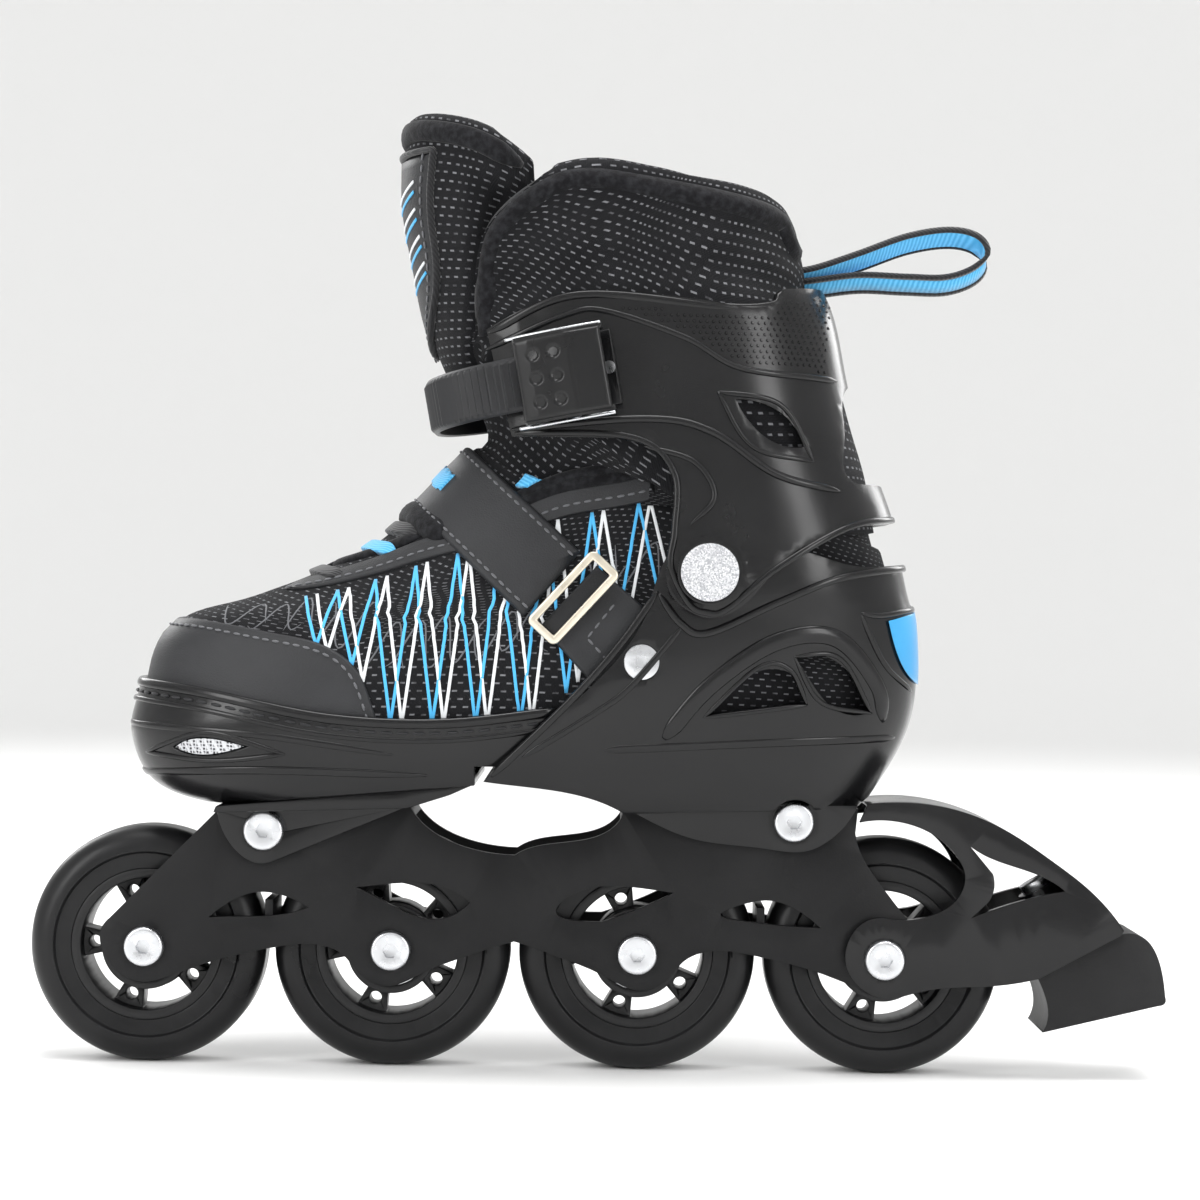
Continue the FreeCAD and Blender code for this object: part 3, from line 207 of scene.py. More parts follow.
def leather():
    """Dark synthetic leather: fine pebbled grain with soft creases."""
    finish = Finish("synthetic_leather", (0.016, 0.0165, 0.018), 0.47, specular=0.3)
    scuffed(finish, (0.028, 0.0285, 0.031), 0.07)
    cells = finish.node("TexVoronoi", feature="DISTANCE_TO_EDGE")
    cells.inputs["Scale"].default_value = 1150.0
    finish.links.new(finish.places(), cells.inputs["Vector"])
    finish.bump(finish.ramp(cells.outputs["Distance"], 0.0, 1.0, 0.0, 0.25), 0.00005, 0.7)
    finish.bump(finish.noise(160.0, 4.0), 0.00012, 0.6)
    return finish.material


def sports_mesh():
    """Black knit with rows of short pale dashes and a fine diagonal rib."""
    finish = Finish("sports_mesh", (0.008, 0.008, 0.009), 0.82, sheen=0.05, specular=0.12)
    split = finish.node("SeparateXYZ")
    finish.links.new(finish.weave_places(), split.inputs[0])
    along, up = split.outputs["X"], split.outputs["Y"]
    row = finish.math("MULTIPLY", up, 1.0 / 2.7)
    row_number = finish.math("FLOOR", row)
    in_row = finish.math("FRACT", row)
    shifted = finish.math("MULTIPLY_ADD", row_number, 0.37, finish.math("MULTIPLY", along, 1.0 / 3.4))
    in_dash = finish.math("FRACT", shifted)
    dash_end = finish.math("LESS_THAN", finish.math("ABSOLUTE", finish.math("SUBTRACT", in_dash, 0.5)),
                           0.22)
    dash_side = finish.math("LESS_THAN", finish.math("ABSOLUTE", finish.math("SUBTRACT", in_row, 0.5)),
                            0.11)
    dash = finish.math("MULTIPLY", dash_end, dash_side)
    worn_dash = finish.math("MULTIPLY", dash, finish.ramp(finish.noise(260.0, 2.0), 0.25, 1.0, 0.35, 0.55))
    cloud = finish.mix_colour(finish.noise(70.0, 3.0), (0.005, 0.005, 0.006), (0.014, 0.0142, 0.016))
    finish.colour_from(finish.mix_colour(worn_dash, cloud, (0.19, 0.193, 0.205)))
    rib = finish.math("SINE", finish.math("MULTIPLY", finish.math("ADD", along, up), 7.5))
    rib_across = finish.math("SINE", finish.math("MULTIPLY", finish.math("SUBTRACT", along, up), 7.5))
    finish.bump(finish.math("MULTIPLY", rib, rib_across), 0.00012, 0.8)
    finish.bump(finish.noise(900.0, 3.0), 0.00008, 0.5)
    return finish.material


def knit(name, colour, pale, sheen=0.5):
    """Brushed lining cloth: short soft loops with a light nap."""
    finish = Finish(name, colour, 0.9, sheen=sheen, specular=0.1)
    finish.set("Sheen Roughness", 0.5)
    fuzz = finish.noise(520.0, 5.0)
    finish.colour_from(finish.mix_colour(finish.ramp(fuzz, 0.0, 1.0, 0.4, 0.72), colour, pale))
    finish.bump(finish.noise(1400.0, 4.0), 0.00016, 0.9)
    finish.bump(fuzz, 0.0003, 0.5)
    return finish.material


def ribbed_webbing(name, colour, pale):
    finish = Finish(name, colour, 0.72, sheen=0.3, specular=0.25)
    wave = finish.node("TexWave", wave_type="BANDS", bands_direction="DIAGONAL")
    wave.inputs["Scale"].default_value = 420.0
    wave.inputs["Distortion"].default_value = 1.2
    finish.links.new(finish.places(), wave.inputs["Vector"])
    finish.colour_from(finish.mix_colour(wave.outputs["Fac"], colour, pale))
    finish.bump(wave.outputs["Fac"], 0.00012, 0.8)
    return finish.material


def thread(name, colour):
    finish = Finish(name, colour, 0.7, sheen=0.3)
    finish.bump(finish.noise(2500.0, 2.0), 0.00005)
    return finish.material


def grille():
    """Silver woven grille behind the toe vent."""
    finish = Finish("silver_grille", (0.55, 0.56, 0.58), 0.35, metallic=0.85)
    cells = finish.node("TexVoronoi", feature="DISTANCE_TO_EDGE")
    cells.inputs["Scale"].default_value = 950.0
    cells.inputs["Randomness"].default_value = 0.15
    finish.links.new(finish.places(), cells.inputs["Vector"])
    holes = finish.ramp(cells.outputs["Distance"], 0.0, 1.0, 0.1, 0.3)
    finish.colour_from(finish.mix_colour(holes, (0.6, 0.61, 0.63), (0.06, 0.06, 0.065)))
    finish.bump(holes, 0.0002, 0.8)
    return finish.material


def sparkle_cap():
    """Pale metal-flake inlay of the ankle pivots, each flake painted a random tone from grey to near white:
    the near-white flakes are painted glints.
    """
    finish = Finish("flake_cap", (0.62, 0.63, 0.66), 0.3, metallic=0.7)
    flakes = finish.node("TexVoronoi")
    flakes.inputs["Scale"].default_value = 2600.0
    finish.links.new(finish.places(), flakes.inputs["Vector"])
    # painted glints: the share of each flake painted near white, whatever the light
    painted_glints = finish.ramp(flakes.outputs["Color"], 0.0, 1.0, 0.25, 0.8)
    finish.colour_from(finish.mix_colour(painted_glints, (0.42, 0.43, 0.46), (0.9, 0.9, 0.92)))
    finish.bump(flakes.outputs["Distance"], 0.00004)
    return finish.material


MATERIALS = {
    "shell": moulded("moulded_shell", (0.005, 0.005, 0.0055), (0.008, 0.008, 0.0085), 0.21, coat=0.05),
    "cuff": moulded("moulded_cuff", (0.0055, 0.0055, 0.006), (0.0085, 0.0085, 0.009), 0.23, coat=0.04),
    "hub": moulded("moulded_hub", (0.006, 0.006, 0.0065), (0.011, 0.011, 0.0115), 0.36),
    "strap": moulded("strap_plastic", (0.014, 0.0143, 0.0155), (0.022, 0.0223, 0.0245), 0.45),
    "buckle": moulded("buckle_plastic", (0.005, 0.005, 0.0055), (0.01, 0.01, 0.0105), 0.3, coat=0.05),
    "badge": moulded("blue_inlay", (0.03, 0.3, 0.62), (0.05, 0.36, 0.68), 0.36, coat=0.2),
    "frame": powder_coat(),
    "steel": plated_steel("zinc_plate", (0.66, 0.67, 0.69), 0.27),
    "ring": plated_steel("pale_gold_ring", (0.74, 0.68, 0.56), 0.3),
    "tyre": tyre_rubber(),
    "brake": brake_rubber(),
    "leather": leather(),
    "fabric": sports_mesh(),
    "fleece": knit("fleece_binding", (0.006, 0.006, 0.007), (0.02, 0.0205, 0.023), 0.12),
    "lining": knit("padded_lining", (0.006, 0.006, 0.007), (0.017, 0.0172, 0.019), 0.1),
    "webbing": ribbed_webbing("blue_webbing", (0.05, 0.33, 0.62), (0.13, 0.5, 0.82)),
    "black_web": ribbed_webbing("black_webbing", (0.006, 0.006, 0.007), (0.018, 0.018, 0.02)),
    "blue_line": thread("blue_piping", (0.06, 0.42, 0.78)),
    "white_line": thread("white_piping", (0.72, 0.74, 0.76)),
    "stitch": thread("grey_thread", (0.1, 0.103, 0.112)),
    "grille": grille(),
    "cap": sparkle_cap(),
}


# ------------------------------ CAD nodes that are shown as they are

WHEELS = (1, 2, 3, 4)
SHOWN_NODES = {
    "frame": ["frame"],
    "shell": ["sole_plate", "brake_arm", "rear_shell", "toe_shell", "size_button", "ankle_rivets"],
    "cuff": ["cuff"],
    "buckle": ["buckle_base", "buckle_lever", "buckle_pawl"],
    "brake": ["brake_pad"],
    "grille": ["toe_vent_mesh"],
    "badge": ["heel_badge"],
    "cap": ["ankle_caps"],
    "ring": ["strap_ring"],
    "steel": ["bearing_inners", "bearing_spacers", "axle_barrels", "axle_screws", "mount_barrels",
              "mount_screws",
              "brake_screw", "strap_screws", "anchor_screw", "buckle_rivets", "buckle_pins"]
             + [f"{kind}_{wheel}" for kind in ("bearing_outers", "ball_sets") for wheel in WHEELS],
    "tyre": [f"tyre_{wheel}" for wheel in WHEELS],
    "hub": [f"hub_{wheel}" for wheel in WHEELS],
}
BEVELS = {"frame": 0.5, "sole_plate": 0.6, "brake_arm": 0.7, "brake_pad": 1.0, "rear_shell": 0.45,
          "toe_shell": 0.45,
          "cuff": 0.5, "size_button": 0.4, "ankle_rivets": 0.5, "strap_ring": 0.5, "buckle_lever": 0.45,
          "buckle_base": 0.3, "heel_badge": 0.25, "strap_screws": 0.4, "anchor_screw": 0.4,
          "brake_screw": 0.4}


def soften_edges(node, width):
    """Small rounded edges, which catch the light as moulded and cast parts do."""
    for polygon in node.data.polygons:
        polygon.use_smooth = True
    weld = node.modifiers.new("weld", "WELD")
    weld.merge_threshold = 0.00002
    bevel = node.modifiers.new("edges", "BEVEL")
    bevel.width = width * MM
    bevel.segments = 2
    bevel.limit_method = "ANGLE"
    bevel.angle_limit = math.radians(35.0)
    bevel.harden_normals = True


def dress_cad_nodes():
    for finish, names in SHOWN_NODES.items():
        for name in names:
            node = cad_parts[name]
            node.data.materials.clear()
            node.data.materials.append(MATERIALS[finish])
            if name in BEVELS:
                soften_edges(node, BEVELS[name])
            elif name.startswith(("hub", "axle", "mount", "tyre")):
                soften_edges(node, 0.3)


# ------------------------------ surfaces of the boot

def squared(value, roundness=2.5):
    return np.sign(value) * np.abs(value) ** (2.0 / roundness)


def unsquared(value, roundness=2.5):
    return np.sign(value) * np.abs(value) ** (roundness / 2.0)


def smoothstep(value, start, end):
    share = np.clip((np.asarray(value, float) - start) / (end - start), 0.0, 1.0)
    return share * share * (3.0 - 2.0 * share)


def monotone(knots, values, at):
    """Smooth curve through the values that never swings past them."""
    gap = np.diff(knots)
    slope = np.diff(values) / gap
    product = slope[:-1] * slope[1:]
    total = np.where(product > 0.0, slope[:-1] + slope[1:], 1.0)
    inner = np.where(product > 0.0, 2.0 * product / total, 0.0)
    tangent = np.concatenate([[slope[0]], inner, [slope[-1]]])
    index = np.clip(np.searchsorted(knots, at, side="right") - 1, 0, len(gap) - 1)
    share = (at - knots[index]) / gap[index]
    rest = 1.0 - share
    return ((1.0 + 2.0 * share) * rest ** 2 * values[index]
            + share * rest ** 2 * gap[index] * tangent[index]
            + share ** 2 * (3.0 - 2.0 * share) * values[index + 1]
            - share ** 2 * rest * gap[index] * tangent[index + 1])


class Skin:
    """Moulded surface through level sections: height, front, back, half widths at toe and heel.

    A place on it is an angle (0 at the heel, pi at the toe, lateral side between) and a height.
    """

    def __init__(self, sections, grow=0.0):
        table = np.array(sections, float)
        self.heights = table[:, 0]
        self.columns = table[:, 1:]
        self.grow = grow

    def level(self, height):
        height = np.clip(height, self.heights[0], self.heights[-1])
        return [monotone(self.heights, column, height) for column in self.columns.T]

    def place(self, angle, height):
        angle, height = np.broadcast_arrays(np.asarray(angle, float), np.asarray(height, float))
        front, back, toe_width, heel_width = self.level(height)
        along = squared(np.cos(angle))
        width = toe_width + (heel_width - toe_width) * smoothstep(along, -1.0, 1.0) + self.grow
        x = (front + back) / 2.0 + ((back - front) / 2.0 + self.grow) * along
        return np.stack([x, -width * squared(np.sin(angle)), height], axis=-1)

    def normal(self, angle, height):
        turn = self.place(np.asarray(angle) + 0.01, height) - self.place(np.asarray(angle) - 0.01, height)
        rise = self.place(angle, np.asarray(height) + 0.4) - self.place(angle, np.asarray(height) - 0.4)
        normal = np.cross(rise, turn)
        return normal / np.maximum(np.linalg.norm(normal, axis=-1, keepdims=True), 1e-9)

    def lifted(self, angle, height, lift):
        """Place moved off the surface along its normal."""
        lift = np.asarray(lift, float)
        return self.place(angle, height) + self.normal(angle, height) * lift[..., None]

    def angle_at(self, x, height):
        """Angle on the lateral side where the surface has this X at this height."""
        front, back, _, _ = self.level(np.asarray(height, float))
        half = (back - front) / 2.0 + self.grow
        along = np.clip((np.asarray(x, float) - (front + back) / 2.0) / half, -1.0, 1.0)
        return np.arccos(unsquared(along))


class Puffed(Skin):
    """A skin with soft relief over it: swell(places) gives its height in millimetres."""

    def __init__(self, base, swell):
        self.base = base
        self.swell = swell
        self.heights = base.heights
        self.columns = base.columns
        self.grow = base.grow

    def place(self, angle, height):
        flat = self.base.place(angle, height)
        return flat + self.base.normal(angle, height) * self.swell(flat)[..., None]


class Joined(Skin):
    """Goes from one skin, a little inside it, to another as the height passes from low to high lines."""

    def __init__(self, lower, upper, low_line, high_line):
        self.lower = lower
        self.upper = upper
        self.low_line = low_line
        self.high_line = high_line
        self.heights = upper.heights
        self.columns = upper.columns
        self.grow = upper.grow

    def place(self, angle, height):
        low = height_on(self.lower, self.low_line, angle)
        high = height_on(self.upper, self.high_line, angle)
        level = np.broadcast_to(height, np.shape(low + height))
        share = smoothstep(level, low - 2.0, high + 2.0)[..., None]
        below = self.lower.lifted(angle, height, -1.6) * (1.0 - share)
        return below + self.upper.lifted(angle, height, -1.2) * share


def height_on(skin, line, angle):
    """Height of a side-view line at each angle, the same on both sides."""
    line = even(smooth_line(line), 1.0)
    around = skin.angle_at(line[:, 0], line[:, 1])
    order = np.argsort(around)
    return np.interp(np.arccos(np.cos(angle)), around[order], line[order, 1])


BOOT = [
    (74.0, -104.0, 70.0, 24.0, 19.0), (80.0, -119.0, 75.0, 32.0, 24.0), (87.0, -134.0, 79.5, 40.0, 29.0),
    (96.0, -138.8, 85.0, 44.0, 33.0), (106.0, -139.6, 89.5, 45.0, 36.0), (117.0, -137.0, 91.5, 43.5, 39.0),
    (129.0, -133.0, 91.5, 40.0, 41.0), (136.0, -126.0, 91.0, 37.5, 41.5),
    (143.0, -103.0, 89.5, 35.0, 41.5),
    (157.0, -71.5, 86.0, 32.5, 41.0), (172.0, -54.0, 82.0, 30.0, 39.0), (192.0, -36.0, 76.0, 28.0, 38.0),
]
LEG = [
    (148.0, -34.0, 85.5, 38.5, 38.5), (178.0, -38.0, 80.0, 39.5, 39.5), (200.0, -43.5, 73.5, 40.0, 40.0),
    (220.0, -52.0, 67.5, 40.0, 40.0), (242.0, -57.5, 59.5, 39.5, 39.5), (268.0, -61.5, 54.5, 39.5, 39.5),
    (290.0, -61.5, 51.0, 39.0, 39.0),
]
CUFF = [
    (130.0, -42.0, 93.0, 46.5, 46.5), (152.0, -42.0, 90.5, 46.5, 46.5), (172.0, -43.0, 85.5, 45.2, 45.2),
    (195.0, -47.0, 76.5, 42.6, 42.6), (215.0, -52.0, 71.0, 41.6, 41.6), (242.0, -58.5, 61.0, 41.2, 41.2),
]
boot_skin = Skin(BOOT)
toe_shell_skin = Skin(BOOT, 3.0)
rear_shell_skin = Skin(BOOT, 6.0)
leg_skin = Skin(LEG)
cuff_skin = Skin(CUFF, 2.8)


# ------------------------------ lines and meshes

UNROLL = 50.0

def smooth_line(points, per_run=14):
    """Samples of a smooth line through points of any dimension."""
    points = np.asarray(points, float)
    if len(points) == 2:
        share = np.linspace(0.0, 1.0, per_run + 1)[:, None]
        return points[0] * (1.0 - share) + points[1] * share
    ends = np.vstack([2.0 * points[0] - points[1], points, 2.0 * points[-1] - points[-2]])
    samples = []
    share = np.linspace(0.0, 1.0, per_run, endpoint=False)[:, None]
    for index in range(1, len(points)):
        before, start, end, after = ends[index - 1:index + 3]
        samples.append(start + 0.5 * share * (end - before + share * (
            2.0 * before - 5.0 * start + 4.0 * end - after
            + share * (3.0 * (start - end) + after - before))))
    return np.vstack(samples + [points[-1:]])


def even(points, step, partner=None):
    """Points re-spaced evenly along their line; a partner array is re-spaced with them."""
    reach = np.concatenate([[0.0], np.cumsum(np.linalg.norm(np.diff(points, axis=0), axis=1))])
    count = max(3, int(round(reach[-1] / step)) + 1)
    at = np.linspace(0.0, reach[-1], count)
    source = points if partner is None else partner
    return np.stack([np.interp(at, reach, source[:, column]) for column in range(source.shape[1])], axis=1)


def offset_line(line, distance):
    """Side-view line moved sideways, to the right of its direction when positive."""
    line = np.asarray(line, float)
    along = np.gradient(line, axis=0)
    along /= np.linalg.norm(along, axis=1, keepdims=True)
    return line + distance * np.stack([along[:, 1], -along[:, 0]], axis=1)


def over_the_front(skin, line, step=1.6):
    """Unrolled points of a side-view line from its lateral end to the front and on to the medial end."""
    line = even(smooth_line(line), step)
    flat = np.stack([skin.angle_at(line[:, 0], line[:, 1]) * UNROLL, line[:, 1]], axis=1)
    flat = flat[flat[:, 0] < math.pi * UNROLL - 0.4]
    mirrored = flat[::-1] * [-1.0, 1.0] + [2.0 * math.pi * UNROLL, 0.0]
    return even(smooth_line(np.vstack([flat, mirrored]), 2), step)


def trace(skin, line, step=1.2, side=LATERAL, wrap=False):
    """(angle, height) samples along a side-view line; wrap carries it round the front to the other side."""
    if wrap:
        turns = over_the_front(skin, line, step)
        turns[:, 0] /= UNROLL
        return turns
    line = smooth_line(line)
    turns = np.stack([skin.angle_at(line[:, 0], line[:, 1]), line[:, 1]], axis=1)
    if side == MEDIAL:
        turns[:, 0] = 2.0 * math.pi - turns[:, 0]
    return even(skin.place(turns[:, 0], turns[:, 1]), step, turns)


def new_piece(name, points, faces, material, smooth=True, weave=None):
    """Mesh object from points in millimetres."""
    mesh = bpy.data.meshes.new(name)
    mesh.from_pydata((np.asarray(points, float) * MM).tolist(), [], faces)
    mesh.polygons.foreach_set("use_smooth", [smooth] * len(mesh.polygons))
    mesh.materials.append(MATERIALS[material])
    if weave is not None:
        attribute = mesh.attributes.new("weave", "FLOAT_VECTOR", "POINT")
        attribute.data.foreach_set("vector", np.asarray(weave, np.float32).ravel())
    mesh.update()
    piece = bpy.data.objects.new(name, mesh)
    bpy.context.scene.collection.objects.link(piece)
    return piece


def grid_faces(rows, columns, close_rows=False, close_columns=False, first=0):
    faces = []
    for row in range(rows if close_rows else rows - 1):
        for column in range(columns if close_columns else columns - 1):
            next_row = (row + 1) % rows * columns
            next_column = (column + 1) % columns
            faces.append((first + row * columns + column, first + row * columns + next_column,
                          first + next_row + next_column, first + next_row + column))
    return faces


class Batch:
    """Several small meshes gathered into one piece."""

    def __init__(self):
        self.points = []
        self.faces = []
        self.count = 0

    def add(self, points, faces):
        points = np.asarray(points, float).reshape(-1, 3)
        self.points.append(points)
        self.faces += [tuple(self.count + corner for corner in face) for face in faces]
        self.count += len(points)

    def piece(self, name, material, body, slot, smooth=True):
        piece = new_piece(name, np.vstack(self.points), self.faces, material, smooth)
        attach(piece, body)
        return piece


def half_round(width, height, sink, steps=7):
    """Profile of a raised bead: (across, up) points, with its foot sunk into the surface."""
    profile = [(-width / 2.0, -sink)]
    for step in range(steps + 1):
        turn = math.pi * (1.0 - step / steps)
        profile.append((width / 2.0 * math.cos(turn), height * math.sin(turn) ** 0.8))
    return np.array(profile + [(width / 2.0, -sink)])


def flat_band(width, height, sink, rounding=0.5):
    """Profile of a flat band with rounded upper edges."""
    half = width / 2.0
    edge = []
    for step in range(4):
        turn = math.pi / 2.0 * step / 3
        edge.append((half - rounding + rounding * math.cos(turn),
                     height - rounding + rounding * math.sin(turn)))
    left = [(-across, up) for across, up in reversed(edge)]
    crown = [(0.0, height * 1.04)]
    return np.array([(half, -sink)] + edge + crown + left + [(-half, -sink)])[::-1]


def sweep(path, normals, profile, closed=False, taper=None):
    """Points and faces of a profile carried along a path; taper scales it at each sample."""
    path = np.asarray(path, float)
    tangent = np.roll(path, -1, 0) - np.roll(path, 1, 0) if closed else np.gradient(path, axis=0)
    tangent /= np.maximum(np.linalg.norm(tangent, axis=1, keepdims=True), 1e-9)
    across = np.cross(tangent, normals)
    across /= np.maximum(np.linalg.norm(across, axis=1, keepdims=True), 1e-9)
    up = np.cross(across, tangent)
    scale = np.ones(len(path)) if taper is None else np.asarray(taper, float)
    points = (path[:, None, :] + (scale[:, None] * profile[:, 0])[..., None] * across[:, None, :]
              + (scale[:, None] * profile[:, 1])[..., None] * up[:, None, :])
    count = len(profile)
    faces = grid_faces(len(path), count, close_rows=closed, close_columns=True)
    if not closed:
        faces.append(tuple(range(count))[::-1])
        faces.append(tuple((len(path) - 1) * count + corner for corner in range(count)))
    return points.reshape(-1, 3), faces


def run_on(skin, turns, lift=0.0):
    """3-D path and normals of (angle, height) samples."""
    points = skin.lifted(turns[:, 0], turns[:, 1], np.full(len(turns), lift))
    return points, skin.normal(turns[:, 0], turns[:, 1])


def bead(batch, skin, turns, profile, lift=0.0, taper_ends=True):
    path, normals = run_on(skin, turns, lift)
    taper = np.ones(len(path))
    if taper_ends:
        count = min(6, len(path) // 3)
        ease = np.sin(np.linspace(0.2, 1.0, count) * math.pi / 2.0)
        taper[:count] *= ease
        taper[-count:] *= ease[::-1]
    batch.add(*sweep(path, normals, profile, taper=taper))


def stitches(batch, skin, turns, lift, length=2.2, gap=1.1, radius=0.32):
    """Row of separate thread stitches along a line."""
    path, normals = run_on(skin, turns, lift)
    both = even(path, 0.25, np.hstack([path, normals]))
    pitch = length + gap
    reach = 0.25 * (len(both) - 1)
    for number in range(int(reach / pitch)):
        middle = int((number + 0.5) * pitch / 0.25)
        if middle + 2 >= len(both):
            break
        place, normal = both[middle, :3], both[middle, 3:]
        along = both[middle + 1, :3] - both[middle - 1, :3]
        along /= max(np.linalg.norm(along), 1e-9)
        across = np.cross(along, normal)
        rings = []
        for share, size in ((-0.5, 0.35), (-0.36, 0.9), (0.0, 1.15), (0.36, 0.9), (0.5, 0.35)):
            for corner in range(6):
                turn = corner * math.pi / 3.0
                rings.append(place + along * share * length + across * math.cos(turn) * radius * size
                             + normal * math.sin(turn) * radius * size)
        faces = grid_faces(5, 6, close_columns=True)
        faces += [tuple(range(6))[::-1], tuple(range(24, 30))]
        batch.add(rings, faces)


def inside_outline(points, outline):
    """True for each point inside a closed outline."""
    x, y = points[:, 0:1], points[:, 1:2]
    x1, y1 = outline[:, 0], outline[:, 1]
    x2, y2 = np.roll(x1, -1), np.roll(y1, -1)
    crosses = (y1 > y) != (y2 > y)
    cut = x1 + (y - y1) * (x2 - x1) / np.where(y2 == y1, 1e-9, y2 - y1)
    return (np.sum(crosses & (x < cut), axis=1) % 2) == 1


def outline_of(runs, step=1.6):
    """Closed side-view outline from runs of points: two points are a straight run, more a smooth one."""
    pieces = []
    here = runs[0][0]
    for number, run in enumerate(runs):
        line = smooth_line([here] + list(run[1:] if number == 0 else run))
        pieces.append(even(line, step)[:-1])
        here = run[-1]
    if np.linalg.norm(np.subtract(here, runs[0][0])) > 0.01:
        pieces.append(even(smooth_line([here, runs[0][0]]), step)[:-1])
    return np.vstack(pieces)


def panel(batch, skin, runs, side, lift, rim=1.2, sink=0.6, spacing=2.4, relief=None):
    """Raised sheet with a rounded rim that follows a surface inside a side-view outline."""
    outline = outline_of(runs)
    flat = np.stack([skin.angle_at(outline[:, 0], outline[:, 1]) * UNROLL, outline[:, 1]], axis=1)
    if side == MEDIAL:
        flat = np.stack([2.0 * math.pi * UNROLL - flat[:, 0], flat[:, 1]], axis=1)
    raised_sheet(batch, skin, flat, lift, rim, sink, spacing, relief)


def rim_rings(flat, rim):
    """Rows of points just inside an outline, which let its rim be rounded."""
    edge = np.roll(flat, -1, 0) - np.roll(flat, 1, 0)
    edge /= np.maximum(np.linalg.norm(edge, axis=1, keepdims=True), 1e-9)
    inward = np.stack([-edge[:, 1], edge[:, 0]], axis=1)
    area = np.sum(flat[:, 0] * np.roll(flat[:, 1], -1) - flat[:, 1] * np.roll(flat[:, 0], -1))
    if area < 0.0:
        inward = -inward
    return [(flat + inward * rim * share, rim * share * 0.8) for share in (0.12, 0.35, 0.7, 1.1)]


def lattice(flat, spacing):
    low, high = flat.min(0), flat.max(0)
    rows = []
    for number, height in enumerate(np.arange(low[1], high[1], spacing * 0.87)):
        columns = np.arange(low[0] + (number % 2) * spacing / 2.0, high[0], spacing)
        rows.append(np.stack([columns, np.full(len(columns), height)], axis=1))
    return np.vstack(rows)


def nearest(points, targets):
    """Distance from each point to the closest target."""
    return np.concatenate([np.linalg.norm(part[:, None, :] - targets[None, :, :], axis=2).min(1)
                           for part in np.array_split(points, max(1, len(points) // 400))])


def raised_sheet(batch, skin, flat, lift, rim, sink, spacing, relief=None):
    """Closed sheet on a surface inside an unrolled outline, its rim rounded down to the surface."""
    chosen = [flat]
    for candidates, clear in rim_rings(flat, rim) + [(lattice(flat, spacing), rim * 1.1 + spacing * 0.45)]:
        candidates = candidates[inside_outline(candidates, flat)]
        if len(candidates):
            chosen.append(candidates[nearest(candidates, flat) > clear])
    result = delaunay_2d_cdt([Vector(point) for point in np.vstack(chosen)], [],
                             [list(range(len(flat)))], 1, 1e-5)
    spread = np.array([tuple(point) for point in result[0]])
    faces = [tuple(face) for face in result[2]]
    angle = spread[:, 0] / UNROLL
    here = skin.place(angle, spread[:, 1])
    distance = nearest(here, skin.place(flat[:, 0] / UNROLL, flat[:, 1]))
    share = 1.0 - np.clip(distance / rim, 0.0, 1.0)
    height = (lift + sink) * np.sqrt(np.maximum(0.0, 1.0 - share ** 2)) - sink
    if relief:
        height = height + relief(here[:, 0], here[:, 2], distance)
    normals = skin.normal(angle, spread[:, 1])
    top = here + normals * height[:, None]
    bottom = here - normals * (sink + 0.05)
    first, second, third = faces[0]
    if np.dot(np.cross(top[second] - top[first], top[third] - top[first]), normals[first]) < 0.0:
        faces = [face[::-1] for face in faces]
    total = len(top)
    sides = {(face[corner], face[(corner + 1) % len(face)]) for face in faces for corner in range(len(face))}
    border = [(a, b) for a, b in sides if (b, a) not in sides]
    under = [tuple(total + corner for corner in face[::-1]) for face in faces]
    skirt = [(b, a, total + a, total + b) for a, b in sorted(border)]
    batch.add(np.vstack([top, bottom]), faces + under + skirt)


def polyline_distance(x, z, line):
    """Distance of side-view places from a line."""
    best = np.full(np.shape(x), 1e9)
    line = np.asarray(line, float)
    for (ax, az), (bx, bz) in zip(line[:-1], line[1:]):
        length = max((bx - ax) ** 2 + (bz - az) ** 2, 1e-9)
        share = np.clip(((x - ax) * (bx - ax) + (z - az) * (bz - az)) / length, 0.0, 1.0)
        best = np.minimum(best, np.hypot(x - ax - share * (bx - ax), z - az - share * (bz - az)))
    return best


def folds(places, size, depth):
    """Soft irregular swelling made of crossing waves."""
    x, y, z = places[..., 0] / size, places[..., 1] / size, places[..., 2] / size
    waves = (np.sin(x + 0.7 * z) + 0.6 * np.sin(1.7 * x - 1.3 * z + 1.1) + 0.5 * np.sin(2.3 * z + 0.9 * y)
             + 0.4 * np.sin(3.1 * x + 1.9 * y + 2.0))
    return depth * waves / 2.5


def wall_grid(angles, low, high, rows):
    """Angle and height grids of a wall between a lower and an upper line."""
    share = np.linspace(0.0, 1.0, rows)
    return np.repeat(angles[:, None], rows, 1), low[:, None] + (high - low)[:, None] * share[None, :]


